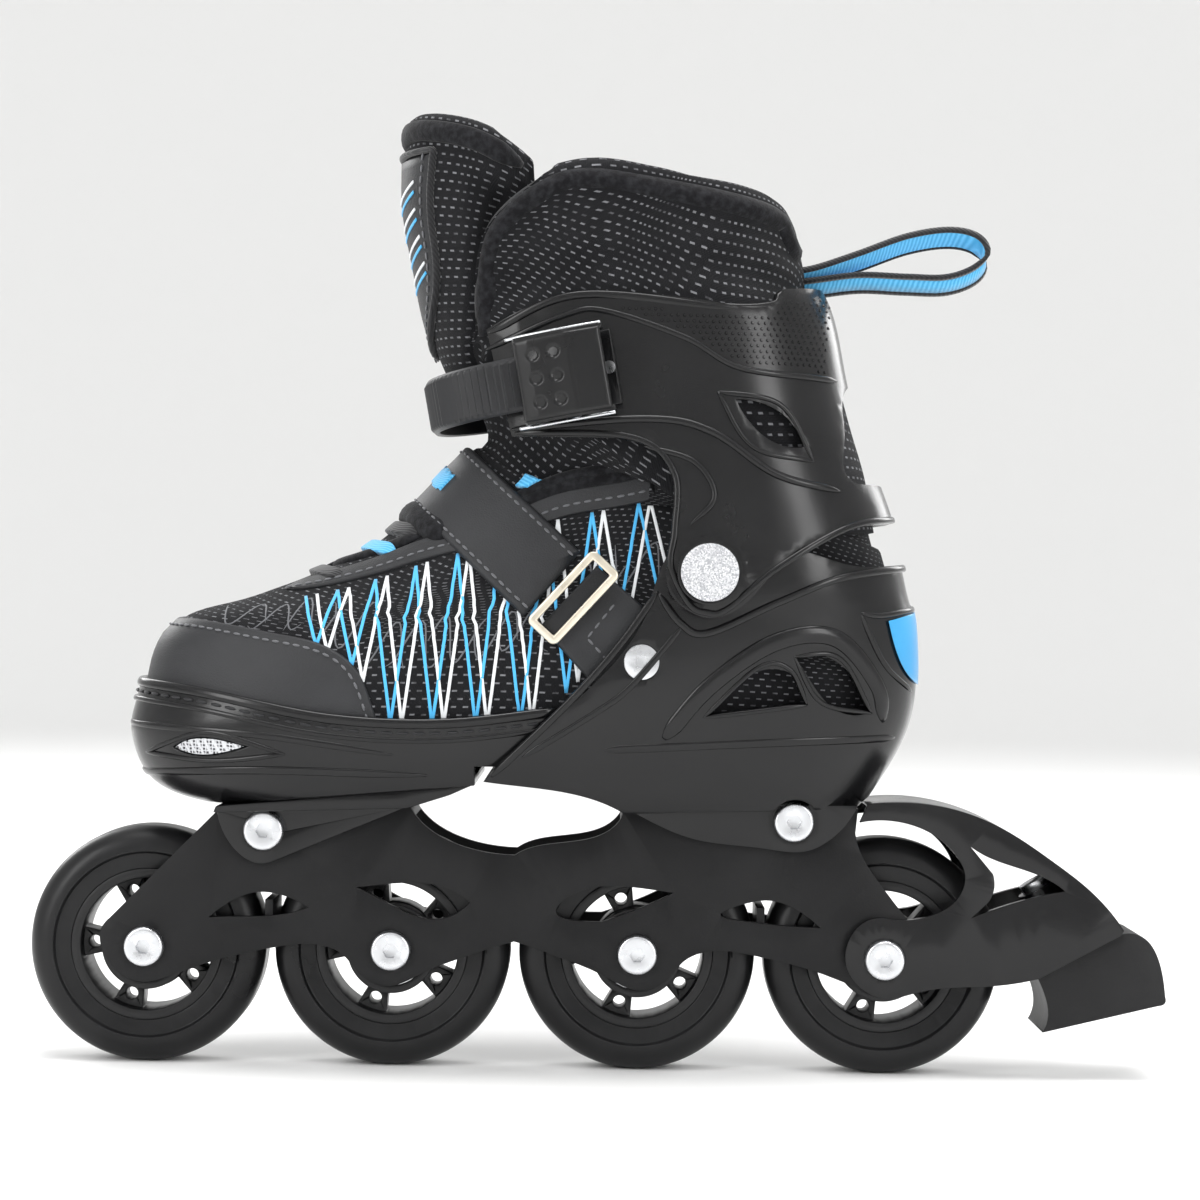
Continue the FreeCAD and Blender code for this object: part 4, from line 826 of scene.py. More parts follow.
def sleeve(name, skin, turn, heights, thickness, material, closed=False):
    """Padded wall on a surface, from grids of angles and heights, with a rolled upper edge."""
    rows = turn.shape[1]
    outer = skin.place(turn, heights)
    inner = outer - skin.normal(turn, heights) * thickness
    centre = (outer[:, -1] + inner[:, -1]) / 2.0
    rise = outer[:, -1] - outer[:, -2]
    rise /= np.maximum(np.linalg.norm(rise, axis=1, keepdims=True), 1e-9)
    radial = (outer[:, -1] - inner[:, -1]) / 2.0
    rim = []
    for step in range(1, 6):
        lean = math.pi * step / 6
        rim.append(centre + radial * math.cos(lean) + rise * thickness * 0.4 * math.sin(lean))
    section = np.concatenate([outer, np.stack(rim, axis=1), inner[:, ::-1]], axis=1)
    count, columns = section.shape[:2]
    reach = np.concatenate([[0.0], np.cumsum(np.linalg.norm(np.diff(outer[:, rows // 2], axis=0),
                                                            axis=1))])
    rise_at = np.linalg.norm(np.diff(section[count // 2], axis=0), axis=1)
    weave = np.zeros((count, columns, 3))
    weave[..., 0] = reach[:, None]
    weave[..., 1] = np.concatenate([[0.0], np.cumsum(rise_at)])[None, :]
    faces = grid_faces(count, columns, close_rows=closed, close_columns=True)
    if not closed:
        faces.append(tuple(range(columns)))
        faces.append(tuple((count - 1) * columns + corner for corner in range(columns))[::-1])
    return new_piece(name, section.reshape(-1, 3), faces, material, weave=weave.reshape(-1, 3))


# ------------------------------ soft upper

UPPER_TOP = [(92.0, 157.0), (44.0, 171.0), (19.5, 180.0), (-6.5, 178.5), (-18.0, 175.0), (-27.0, 179.5),
             (-38.5, 188.0)]
COLLAR_FOOT = [(100.0, 166.5), (48.0, 162.0), (34.0, 167.0), (14.0, 178.0), (-20.0, 204.0), (-45.0, 219.0)]


def upper_swell(places):
    free = smoothstep(places[..., 2], 112.0, 124.0)
    return free * (0.5 + folds(places, 8.5, 0.45))


upper_skin = Puffed(boot_skin, upper_swell)


def gather(batch, name, material):
    """Turn a batch into one piece."""
    piece = new_piece(name, np.vstack(batch.points), batch.faces, material)
    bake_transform(piece)
    return piece


def on_upper(batch, name, material):
    return gather(batch, name, material)


def make_upper():
    angles = np.linspace(0.0, 2.0 * math.pi, 230, endpoint=False)
    high = height_on(boot_skin, UPPER_TOP, angles)
    turn, heights = wall_grid(angles, np.full(len(angles), 95.0), high, 96)
    upper = sleeve("upper", upper_skin, turn, heights, 5.5, "fabric", closed=True)
    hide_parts("upper_toe", "upper_body")
    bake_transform(upper)


TOE_CAP_EDGE = [(-65.0, 107.0), (-71.0, 121.0), (-82.0, 128.5), (-100.0, 132.0), (-118.0, 134.5),
                (-128.0, 135.0)]


def make_toe_cap():
    """Leather cap over the toes with a row of stitches just inside its edge."""
    batch = Batch()
    edge = over_the_front(boot_skin, TOE_CAP_EDGE)
    foot = over_the_front(boot_skin, [(-65.0, 104.0), (-139.0, 104.0)])
    raised_sheet(batch, upper_skin, np.vstack([edge, foot[::-1]]), 1.1, 1.0, 0.4, 3.0)
    on_upper(batch, "toe_cap", "leather")
    seam = Batch()
    stitches(seam, upper_skin, trace(boot_skin, offset_line(TOE_CAP_EDGE, -2.6), wrap=True), 1.2)
    on_upper(seam, "toe_cap_stitches", "stitch")


EYESTAY = [(-95.0, 144.5), (-75.0, 149.0), (-52.0, 157.0), (-30.0, 163.5), (-12.0, 171.0),
           (8.0, 175.0), (26.0, 180.0)]
MESH_FOOT = [(-115.0, 134.0), (-90.0, 131.0), (-72.0, 122.0), (-62.0, 105.5), (-20.0, 105.5),
             (22.0, 146.0)]


def mesh_limits(x):
    """Heights of the lower and the upper edge of the flank's mesh at some X."""
    return np.interp(x, *np.transpose(MESH_FOOT)), np.interp(x, *np.transpose(EYESTAY)) - 4.0


def make_line_art():
    """Plain zigzag of thin raised strips on both flanks, one blue and one white beside it."""
    turning_points = 18
    for name, colour, shift in (("blue_lines", "blue_line", 0.0), ("white_lines", "white_line", 3.4)):
        batch = Batch()
        x = -88.0 + 106.0 * np.linspace(0.0, 1.0, turning_points) ** 1.12 + shift
        foot, top = mesh_limits(x)
        corners = np.stack([x, np.where(np.arange(turning_points) % 2, foot, top)], axis=1)
        for side in BOTH_SIDES:
            for stroke in zip(corners[:-1], corners[1:]):
                run = trace(boot_skin, stroke, 2.0, side)
                bead(batch, upper_skin, run, flat_band(0.95, 0.3, 0.5, 0.15), 0.0, False)
        on_upper(batch, name, colour)


def make_contours():
    """Fine wavy threads knitted into the mesh."""
    batch = Batch()
    share = np.linspace(-1.0, 1.0, 9)
    for number in range(12):
        middle = -106.0 + 10.6 * number
        foot, top = mesh_limits(middle)
        reach = min(7.0, 0.42 * (top - foot))
        wave = np.sin(4.0 * share + 1.7 * number)
        line = np.stack([middle + 8.0 * share + 2.0 * wave, (top + foot) / 2.0 + reach * wave], axis=1)
        for side in BOTH_SIDES:
            bead(batch, upper_skin, trace(boot_skin, line, 1.2, side), half_round(0.5, 0.16, 0.3, 4))
    on_upper(batch, "contour_threads", "stitch")


def make_eyestay():
    """Leather band along the lacing edge, with stitches, and the double fleece roll above it."""
    band = Batch()
    seam = Batch()
    fleece = Batch()
    for side in BOTH_SIDES:
        bead(band, upper_skin, trace(boot_skin, EYESTAY, 1.6, side), flat_band(7.4, 1.0, 0.8, 0.6), 0.1)
        stitches(seam, upper_skin, trace(boot_skin, offset_line(EYESTAY, 0.8), 1.2, side), 1.2)
        for rise, width in ((5.4, 3.8), (8.4, 3.6)):
            roll = [(x + 0.2 * rise, z + rise) for x, z in EYESTAY[3:]]
            bead(fleece, upper_skin, trace(boot_skin, roll, 1.6, side), half_round(width, 1.7, 0.8), 0.0)
        front_roll = offset_line(EYESTAY[:3], -4.6)
        bead(fleece, upper_skin, trace(boot_skin, front_roll, 1.6, side), half_round(4.4, 1.8, 0.8), -0.2)
    on_upper(band, "eyestay", "leather")
    on_upper(seam, "eyestay_stitches", "stitch")
    on_upper(fleece, "fleece_rolls", "fleece")
    cushion = Batch()
    across = trace(boot_skin, [(-44.0, 160.5), (-52.0, 164.8), (-57.5, 169.0)], 1.6, wrap=True)
    bead(cushion, upper_skin, across, half_round(9.0, 3.4, 1.5), -0.4)
    on_upper(cushion, "lace_guard_roll", "fleece")


def make_laces():
    """Flat blue lace that crosses the instep, and its end above the strap."""
    batch = Batch()
    lower = Batch()
    for piece, rise in ((lower, 149.6), (batch, 157.6), (lower, 163.2)):
        front = boot_skin.level(rise)[0]
        line = [(front + 9.0, rise - 1.6), (front + 4.0, rise - 0.6), (front, rise)]
        bead(piece, upper_skin, trace(boot_skin, line, 1.0, wrap=True), flat_band(4.6, 1.3, 0.5, 0.5), 0.5)
    on_upper(lower, "black_lace_bands", "black_web")
    for side in BOTH_SIDES:
        panel(batch, upper_skin, [[(-25.2, 176.0), (-21.8, 180.0)], [(-17.4, 178.2)], [(-21.6, 175.6)],
                                  [(-25.2, 176.0)]],
              side, 2.6, 0.5, 0.2, 1.4)
    laces = on_upper(batch, "lace_bands", "webbing")
    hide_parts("laces")


# ------------------------------ instep strap

STRAP_LOW = [(-22.5, 137.5), (-55.5, 168.0), (-60.0, 171.5)]
STRAP_HIGH = [(-6.0, 157.0), (-26.0, 175.5), (-41.5, 190.0)]


def strap_swell(x, z, distance):
    return 0.25 * smoothstep(distance, 2.0, 9.0)


def make_instep_strap():
    """Padded leather strap from its ring over the instep to the medial side."""
    batch = Batch()
    low = over_the_front(boot_skin, STRAP_LOW)
    high = over_the_front(boot_skin, STRAP_HIGH)
    strap_skin = Skin(BOOT)
    raised_sheet(batch, strap_skin, np.vstack([low, high[::-1]]), 2.75, 1.1, -0.9, 3.0, strap_swell)
    strap = batch.piece("instep_strap_leather", "leather", "chassis", "leather")
    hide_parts("instep_strap")
    seam = Batch()
    for line in (offset_line(STRAP_LOW, 2.4), offset_line(STRAP_HIGH, -2.4)):
        stitches(seam, strap_skin, trace(boot_skin, line, 1.2, wrap=True), 2.95)
    seam.piece("strap_stitches", "stitch", "chassis", "leather")
    patch = Batch()
    corners = [[(-45.5, 181.5), (-42.5, 178.5)], [(-47.5, 173.0)], [(-50.5, 176.0)], [(-45.5, 181.5)]]
    panel(patch, strap_skin, corners, LATERAL, 3.6, 0.4, -2.4, 2.0)
    patch.piece("strap_patch", "webbing", "chassis", "webbing")


def make_ring_tabs():
    """Stitched tabs that hold the strap's ring, tucked under the heel shell's front edge."""
    batch = Batch()
    seam = Batch()
    outline = [[(-1.0, 153.0), (-17.5, 135.0)], [(-1.0, 117.5)], [(17.5, 128.0)], [(12.5, 141.5)],
               [(-1.0, 153.0)]]
    for side in BOTH_SIDES:
        panel(batch, boot_skin, outline, side, 2.7, 0.9, -0.8, 3.0, strap_swell)
        for line in ([(-3.6, 131.6), (4.8, 142.0)], [(-3.6, 131.6), (4.0, 123.6)]):
            stitches(seam, boot_skin, trace(boot_skin, line, 1.0, side), 2.85)
    tabs = batch.piece("ring_tab_leather", "leather", "chassis", "leather")
    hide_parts("ring_tabs")
    seam.piece("ring_tab_stitches", "stitch", "chassis", "leather")


# ------------------------------ ankle liner, collar and tongue

def ankle_swell(places):
    return 0.3 + folds(places, 6.5, 0.5)


ankle_skin = Joined(boot_skin, leg_skin, UPPER_TOP, COLLAR_FOOT)


def make_ankle_liner():
    """Fabric between the upper and the collar."""
    angles = np.linspace(0.0, 2.0 * math.pi, 150, endpoint=False)
    low = height_on(boot_skin, UPPER_TOP, angles) - 9.0
    high = height_on(leg_skin, COLLAR_FOOT, angles) + 7.0
    turn, heights = wall_grid(angles, low, high, 34)
    liner = sleeve("ankle_liner", Puffed(ankle_skin, ankle_swell), turn, heights, 3.6,
                   "fabric", closed=True)
    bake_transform(liner)


COLLAR_FRONT = [(-45.0, 214.0), (-37.5, 222.0), (-38.5, 235.0), (-35.0, 253.0), (-20.0, 267.5)]
COLLAR_TOP = [(62.0, 240.0), (57.0, 254.5), (49.0, 263.0), (19.0, 268.0), (-3.0, 271.0), (-20.0, 267.5)]


def collar_grid(columns, rows):
    """Angle and height grids of the collar, from its medial front edge round the back to the lateral one."""
    share = np.linspace(-1.0, 1.0, columns)
    front = even(smooth_line(COLLAR_FRONT), 0.8)
    front_angle = leg_skin.angle_at(front[:, 0], front[:, 1])
    top = even(smooth_line(COLLAR_TOP), 0.8)
    top_share = leg_skin.angle_at(top[:, 0], top[:, 1]) / np.interp(top[:, 1], front[:, 1], front_angle)
    order = np.argsort(top_share)
    high = np.interp(np.abs(share), top_share[order], top[order, 1])
    foot = height_on(leg_skin, COLLAR_FOOT, np.abs(share) * front_angle[0])
    _, heights = wall_grid(share, foot, high, rows)
    turn = share[:, None] * np.interp(heights, front[:, 1], front_angle)
    return turn, heights


def collar_swell(places):
    """Padding that bulges between the collar's sewn lines."""
    seam = polyline_distance(places[..., 0], places[..., 2],
                             [(-40.0, 232.0), (0.0, 243.0), (30.0, 243.0), (64.0, 236.0)])
    return 0.4 + 1.3 * smoothstep(seam, 0.5, 7.0) + folds(places, 9.0, 0.35) - 0.6


def make_collar():
    turn, heights = collar_grid(132, 46)
    collar = sleeve("collar", Puffed(leg_skin, collar_swell), turn, heights, 8.4, "fabric")
    collar = inflate(collar, 1.6)
    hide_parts("liner_collar")
    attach(collar, "cuff")
    binding = Batch()
    half = [(x + 3.2, z - 1.0) for x, z in COLLAR_FRONT[1:-1]] + [(-17.0, 264.5)]
    half += [(x - 0.6, z - 3.8) for x, z in COLLAR_TOP[-2:1:-1]] + [(53.5, 254.0), (56.0, 249.5)]
    rim = trace(leg_skin, half, 1.6)
    mirrored = [2.0 * math.pi, 0.0] - rim[::-1] * [1.0, -1.0]
    rim = np.vstack([rim, mirrored - [2.0 * math.pi, 0.0]])
    turns = np.linspace(0.0, 2.0 * math.pi, 16, endpoint=False)
    roll = np.stack([4.6 * np.cos(turns), 7.7 * np.sin(turns)], axis=1)
    path, normals = run_on(leg_skin, rim, -4.2)
    binding.add(*sweep(path, normals, roll))
    binding.piece("collar_binding", "fleece", "cuff", "lining")


def inflate(piece, cap):
    """Fill a closed padded piece: cloth under light pressure, with its travel capped."""
    scene = bpy.context.scene
    rest = np.array([vertex.co for vertex in piece.data.vertices])
    cloth = piece.modifiers.new("filling", "CLOTH")
    cloth.settings.quality = 5
    cloth.settings.mass = 0.2
    cloth.settings.tension_stiffness = 30.0
    cloth.settings.compression_stiffness = 30.0
    cloth.settings.bending_stiffness = 2.0
    cloth.settings.use_pressure = True
    cloth.settings.uniform_pressure_force = 4.0
    cloth.settings.effector_weights.gravity = 0.0
    cloth.point_cache.frame_start = 1
    cloth.point_cache.frame_end = 20
    for frame_number in range(1, 21):
        scene.frame_set(frame_number)
    shaped = piece.evaluated_get(bpy.context.evaluated_depsgraph_get())
    moved = np.array([vertex.co for vertex in shaped.data.vertices]) - rest
    piece.modifiers.remove(cloth)
    reach = np.linalg.norm(moved, axis=1, keepdims=True)
    moved *= np.minimum(1.0, cap * MM / np.maximum(reach, 1e-9))
    piece.data.vertices.foreach_set("co", (rest + moved).ravel())
    piece.data.update()
    scene.frame_set(1)
    return piece


TONGUE_TOP = [(-18.0, 266.5), (-25.0, 274.5), (-38.5, 282.0), (-54.0, 286.0), (-61.5, 286.5)]


def make_tongue():
    """Padded tongue whose wings tuck inside the collar, with a piped leather shield on its front."""
    share = np.linspace(-1.0, 1.0, 72)
    top = even(smooth_line(TONGUE_TOP), 0.8)
    reach = 1.32
    top_angle = leg_skin.angle_at(top[:, 0], top[:, 1])
    order = np.argsort(top_angle)
    high = np.interp(math.pi - np.abs(share) * reach, top_angle[order], top[order, 1])
    turn, heights = wall_grid(math.pi + share * reach, np.full(len(share), 205.0), high, 46)
    tongue = sleeve("tongue_pad", Puffed(leg_skin, tongue_swell), turn, heights, 6.5, "fabric")
    tongue = inflate(tongue, 1.2)
    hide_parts("tongue")
    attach(tongue, "cuff")
    make_tongue_shield()


def tongue_swell(places):
    """The wings sink under the collar; the middle stands proud."""
    under = smoothstep(places[..., 0], -42.0, -33.0)
    below_top = 1.0 - smoothstep(places[..., 2], 262.0, 272.0)
    tucked = under * np.maximum(below_top, smoothstep(places[..., 0], -34.0, -20.0))
    return -9.6 * tucked + folds(places, 9.0, 0.25)


def make_tongue_shield():
    tongue_surface = Puffed(leg_skin, tongue_swell)
    edge = [(-52.5, 216.0), (-50.0, 235.0), (-52.0, 258.0), (-51.5, 277.0)]
    lateral = np.stack([leg_skin.angle_at(*np.array(edge).T) * UNROLL, np.array(edge)[:, 1]], axis=1)
    lateral = even(smooth_line(lateral), 1.6)
    medial = lateral[::-1] * [-1.0, 1.0] + [2.0 * math.pi * UNROLL, 0.0]
    shield = Batch()
    raised_sheet(shield, tongue_surface, np.vstack([lateral, medial]), 1.6, 1.0, 0.4, 2.6)
    shield.piece("tongue_shield", "leather", "cuff", "leather")
    piping = Batch()
    around = even(np.vstack([lateral, medial]), 1.2)
    bead(piping, tongue_surface, np.stack([around[:, 0] / UNROLL, around[:, 1]], axis=1),
         half_round(1.8, 1.7, 0.3), 0.6)
    piping.piece("tongue_piping", "black_web", "cuff", "leather")
    seam = Batch()
    inset = even(np.vstack([lateral + [4.6, 0.0], medial - [4.6, 0.0]]), 1.2)
    stitches(seam, tongue_surface, np.stack([inset[:, 0] / UNROLL, inset[:, 1]], axis=1), 1.75)
    seam.piece("tongue_stitches", "stitch", "cuff", "leather")
    make_tongue_art(tongue_surface)
    roll = Batch()
    bead(roll, tongue_surface, trace(leg_skin, offset_line(TONGUE_TOP[1:], -3.0), 1.4, wrap=True),
         half_round(6.4, 1.6, 1.0), 0.4)
    roll.piece("tongue_top_binding", "fleece", "cuff", "lining")


def make_tongue_art(surface):
    """Plain rising stripes, blue and white in turn, on each half of the shield."""
    share = np.linspace(0.0, 1.0, 18)
    for colour, shift in (("blue", 0.0), ("white", 3.0)):
        batch = Batch()
        for row in range(4):
            rise = 236.0 + 8.0 * row + shift + 5.0 * share ** 1.5
            for side in BOTH_SIDES:
                around = math.pi + side * (0.05 + 0.4 * share)
                run = np.stack([around, rise], axis=1)
                bead(batch, surface, run, flat_band(0.9, 0.3, 0.4, 0.15), 1.6, False)
        batch.piece(f"tongue_{colour}_lines", f"{colour}_line", "cuff", "leather")


# ------------------------------ trims of the shells and the cuff

TOE_RIM = [(-12.0, 110.0), (-46.0, 106.0), (-80.0, 107.0), (-117.0, 113.5), (-139.0, 116.0)]
TOE_RIDGES = [([(-60.0, 96.5), (-100.0, 101.5), (-143.0, 103.5)], 2.2, 0.55),
              ([(-50.0, 90.5), (-100.0, 91.0), (-141.0, 88.5)], 2.6, 0.6)]


def make_toe_trims():
    """Rolled rim and long soft ridges of the toe shell, and the raised eye round its vent."""
    batch = Batch()
    bead(batch, toe_shell_skin, trace(toe_shell_skin, TOE_RIM, 1.5, wrap=True),
         half_round(3.0, 0.9, 1.2), 0.0, False)
    lower = [(x, z - 5.0) for x, z in TOE_RIM]
    bead(batch, toe_shell_skin, trace(toe_shell_skin, lower, 1.5, wrap=True),
         half_round(1.6, 0.5, 0.5), 0.0, False)
    for line, width, rise in TOE_RIDGES:
        bead(batch, toe_shell_skin, trace(toe_shell_skin, line, 1.8, wrap=True),
             half_round(width, rise, 0.6), 0.0)
    eye_top = [(-136.0, 95.0), (-121.0, 101.0), (-111.0, 101.5), (-92.0, 96.0)]
    eye_low = [(-136.0, 95.0), (-114.0, 93.5), (-92.0, 96.0)]
    for side in BOTH_SIDES:
        for line in (eye_top, eye_low):
            bead(batch, toe_shell_skin, trace(toe_shell_skin, line, 1.2, side),
                 half_round(1.5, 0.7, 0.5), 0.0)
    batch.piece("toe_shell_trims", "shell", "toe", "shell")
    seam = Batch()
    groove_line = [(x, z - 2.8) for x, z in TOE_RIM]
    stitches(seam, toe_shell_skin, trace(toe_shell_skin, groove_line, 1.5, wrap=True), 0.05, 3.4, 1.4,
             0.45)
    seam.piece("toe_shell_beading", "strap", "toe", "shell")


REAR_RIM = [(17.0, 145.5), (24.0, 136.5), (32.0, 134.0), (53.0, 143.5), (72.0, 151.0), (97.0, 155.0)]
REAR_FRONT = [(-31.0, 90.5), (-9.0, 112.5), (6.0, 130.0), (17.0, 146.0)]
REAR_CREASE = [(2.0, 99.0), (50.0, 101.5), (90.0, 103.0)]
REAR_CHANNEL = [(24.5, 136.0), (9.5, 118.0), (-1.5, 109.5), (-22.0, 96.5)]
REAR_ARCH = [(19.5, 102.5), (33.0, 118.5), (52.0, 131.5), (70.0, 133.0), (83.0, 119.5), (86.0, 108.0)]
VENTS = ([(31.0, 109.0), (47.0, 124.0), (56.5, 123.5), (62.0, 113.0)], [(62.0, 113.0), (31.0, 109.0)],
         [(57.5, 127.5), (71.5, 127.0), (82.0, 110.5)], [(82.0, 110.5), (66.0, 114.0), (57.5, 127.5)])
HEEL_FRAME = ([(77.5, 140.5), (85.0, 140.0), (101.0, 143.0)],
              [(77.5, 140.5), (85.5, 125.5), (95.0, 117.0)])


def make_rear_trims():
    """Raised rim round the cuff's lobe, channel to the strap screw, arch round the vents and heel frame."""
    batch = Batch()
    for side in BOTH_SIDES:
        channel = REAR_CHANNEL if side == LATERAL else REAR_CHANNEL[:3]
        beads = [(REAR_RIM, half_round(2.4, 0.95, 1.2)), (REAR_FRONT, half_round(2.2, 0.7, 1.2)),
                 (channel, half_round(2.0, 0.6, 0.6)), (REAR_ARCH, half_round(5.4, 1.1, 0.8)),
                 (REAR_CREASE, half_round(2.6, 0.5, 0.6))]
        beads += [(line, half_round(1.5, 0.7, 1.4)) for line in VENTS]
        beads += [(line, half_round(2.0, 0.8, 0.8)) for line in HEEL_FRAME]
        for line, profile in beads:
            bead(batch, rear_shell_skin, trace(rear_shell_skin, line, 1.2, side), profile, -0.1)
    batch.piece("rear_shell_trims", "shell", "chassis", "shell")


CUFF_RIDGES = [
    ([(-35.0, 216.5), (-12.0, 226.5), (0.0, 228.0), (24.0, 220.5), (41.0, 212.0), (70.0, 210.0)], 2.0,
     0.9),
    ([(-27.0, 193.0), (13.0, 196.5), (32.0, 193.0), (51.0, 181.0), (70.5, 176.5)], 2.4, 1.1),
    ([(12.0, 188.5), (27.0, 184.0), (33.0, 174.0), (26.0, 165.5)], 1.8, 0.8),
]
CUFF_TOP = [(-34.5, 221.5), (-8.0, 232.5), (34.5, 230.0), (50.0, 231.5), (53.0, 235.0), (66.0, 237.0)]
CUFF_LOBE = [(-26.0, 192.0), (8.5, 191.0), (21.0, 181.0), (21.5, 164.0), (20.5, 153.5), (26.0, 142.5),
             (31.0, 140.0), (37.0, 141.0), (52.0, 153.5), (73.5, 166.0), (92.0, 169.5)]
CUFF_EYE = ([(33.5, 205.0), (52.5, 201.5), (62.5, 185.0)], [(62.5, 185.0), (44.0, 189.0), (33.5, 205.0)])


def make_cuff_trims():
    """Rolled rims and flowing ridges of the cuff, and the raised eye round its side vent."""
    batch = Batch()
    for side in BOTH_SIDES:
        for line, width, rise in CUFF_RIDGES:
            bead(batch, cuff_skin, trace(cuff_skin, line, 1.3, side), half_round(width, rise, 0.7), -0.1)
        bead(batch, cuff_skin, trace(cuff_skin, CUFF_TOP, 1.3, side), half_round(2.6, 0.9, 1.2), -0.1)
        bead(batch, cuff_skin, trace(cuff_skin, CUFF_LOBE, 1.3, side), half_round(2.0, 0.75, 1.2), -0.1)
        for line in CUFF_EYE:
            bead(batch, cuff_skin, trace(cuff_skin, line, 1.1, side), half_round(1.6, 0.7, 0.6), -0.05)
    batch.piece("cuff_trims", "cuff", "cuff", "shell")


def stud_places(pitch):
    """Staggered rows of (x, height) between the cuff's top rim and its highest ridge."""
    upper = even(smooth_line(CUFF_TOP), 1.0)
    lower = even(smooth_line(CUFF_RIDGES[0][0]), 1.0)
    places = []
    for number in range(int(30.0 / (pitch * 0.87))):
        height = 209.0 + number * pitch * 0.87
        for x in np.arange(-8.0 + (number % 2) * pitch / 2.0, 67.0, pitch):
            if np.interp(x, *lower.T) + 2.0 < height < np.interp(x, *upper.T) - 2.6:
                places.append((x, height))
    return np.array(places)


def make_cuff_texture():
    """Raised studs in close rows on the band under the cuff's top rim, set on the moulding itself."""
    pitch = 1.9
    places = stud_places(pitch)
    tree = BVHTree.FromObject(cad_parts["cuff"], bpy.context.evaluated_depsgraph_get())
    hexagon = [(math.cos(turn), math.sin(turn)) for turn in np.linspace(0.0, 2.0 * math.pi, 6,
                                                                        endpoint=False)]
    radius = pitch * 0.36
    faces = [(k, (k + 1) % 6, 6 + (k + 1) % 6, 6 + k) for k in range(6)]
    faces += [tuple(range(6, 12)), tuple(range(6))[::-1]]
    batch = Batch()
    for side in BOTH_SIDES:
        angle = cuff_skin.angle_at(places[:, 0], places[:, 1])
        if side == MEDIAL:
            angle = 2.0 * math.pi - angle
        for start, out in zip(cuff_skin.lifted(angle, places[:, 1], 8.0),
                              cuff_skin.normal(angle, places[:, 1])):
            hit, _, _, _ = tree.ray_cast(Vector(start * MM), Vector(-out), 12.0 * MM)
            if hit is None:
                continue
            place = np.array(hit) / MM
            along = np.cross(out, [0.0, 0.0, 1.0])
            along /= np.linalg.norm(along)
            rise = np.cross(along, out)
            ring = [place + radius * (c * along + s * rise) - 0.3 * out for c, s in hexagon]
            cap = [place + 0.55 * radius * (c * along + s * rise) + 0.36 * out for c, s in hexagon]
            batch.add(ring + cap, faces)
    batch.piece("cuff_studs", "cuff", "cuff", "shell", smooth=False)


# ------------------------------ buckle, ladder strap and pull loop

def strap_matrix():
    """Frame of the ladder strap: X along the cuff's side, tilted up towards the back."""
    return Matrix.Translation((-25.0, 0.0, 206.0)) @ Matrix.Rotation(math.radians(-10.8), 4, "Y")


def buckle_matrix():
    """Buckle's own frame: X back along the strap, -Y out of the cuff, Z across the strap."""
    turn = Matrix.Rotation(math.radians(-14.0), 4, "Z")
    return strap_matrix() @ Matrix.Translation((3.0, -43.2, 0.0)) @ turn


def moved(points, matrix):
    points = np.asarray(points, float)
    array = np.array(matrix)
    return points @ array[:3, :3].T + array[:3, 3]


def make_ladder_strap():
    """Moulded strap with fine teeth across its outer face."""
    inside = moved([(24.0, -2.5, 0.0), (12.0, -2.5, 0.0), (0.0, -2.5, 0.0)],
                   strap_matrix().inverted() @ buckle_matrix())
    around = [(-9.5, -40.3), (-19.0, -31.5), (-25.5, -18.0), (-27.8, 0.0), (-25.5, 18.0), (-19.0, 31.0),
              (-9.0, 38.8), (4.0, 43.6), (20.0, 47.2), (36.0, 48.6)]
    line = np.vstack([inside, [(x, y, 0.0) for x, y in around]])
    path = even(smooth_line(line), 0.42)
    tangent = np.gradient(path, axis=0)
    tangent /= np.linalg.norm(tangent, axis=1, keepdims=True)
    outward = np.cross(tangent, [0.0, 0.0, 1.0])
    outward *= np.sign(np.sum(outward * (path - [20.0, 0.0, 0.0]), axis=1))[:, None]
    reach = np.arange(len(path)) * 0.42
    toothed = smoothstep(reach, 22.0, 24.0) * (1.0 - smoothstep(reach, 92.0, 96.0))
    saw = (reach / 2.6) % 1.0
    tooth = 0.8 * toothed * np.where(saw < 0.7, saw / 0.7, (1.0 - saw) / 0.3)
    half_width, half_thickness = 8.0, 0.88
    section = []
    for across, thick in ((-half_width, -0.55), (-half_width + 0.4, -1.0), (half_width - 0.4, -1.0),
                          (half_width, -0.55),
                          (half_width, 0.45), (half_width - 0.6, 1.0), (half_width - 1.6, 1.0),
                          (-half_width + 1.6, 1.0),
                          (-half_width + 0.6, 1.0), (-half_width, 0.45)):
        extra = tooth if thick > 0.9 and abs(across) < half_width - 1.0 else 0.0 * tooth
        lift = (thick * half_thickness + extra)[:, None] if np.ndim(extra) else thick * half_thickness
        section.append(path + outward * lift + np.array([0.0, 0.0, across]))
    section = np.stack(section, axis=1)
    count = section.shape[1]
    faces = grid_faces(len(path), count, close_columns=True)
    faces += [tuple(range(count))[::-1],
              tuple((len(path) - 1) * count + corner for corner in range(count))]
    batch = Batch()
    batch.add(moved(section.reshape(-1, 3), strap_matrix()), faces)
    strap = batch.piece("toothed_strap", "strap", "cuff", "strap", smooth=False)
    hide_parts("ladder_strap")


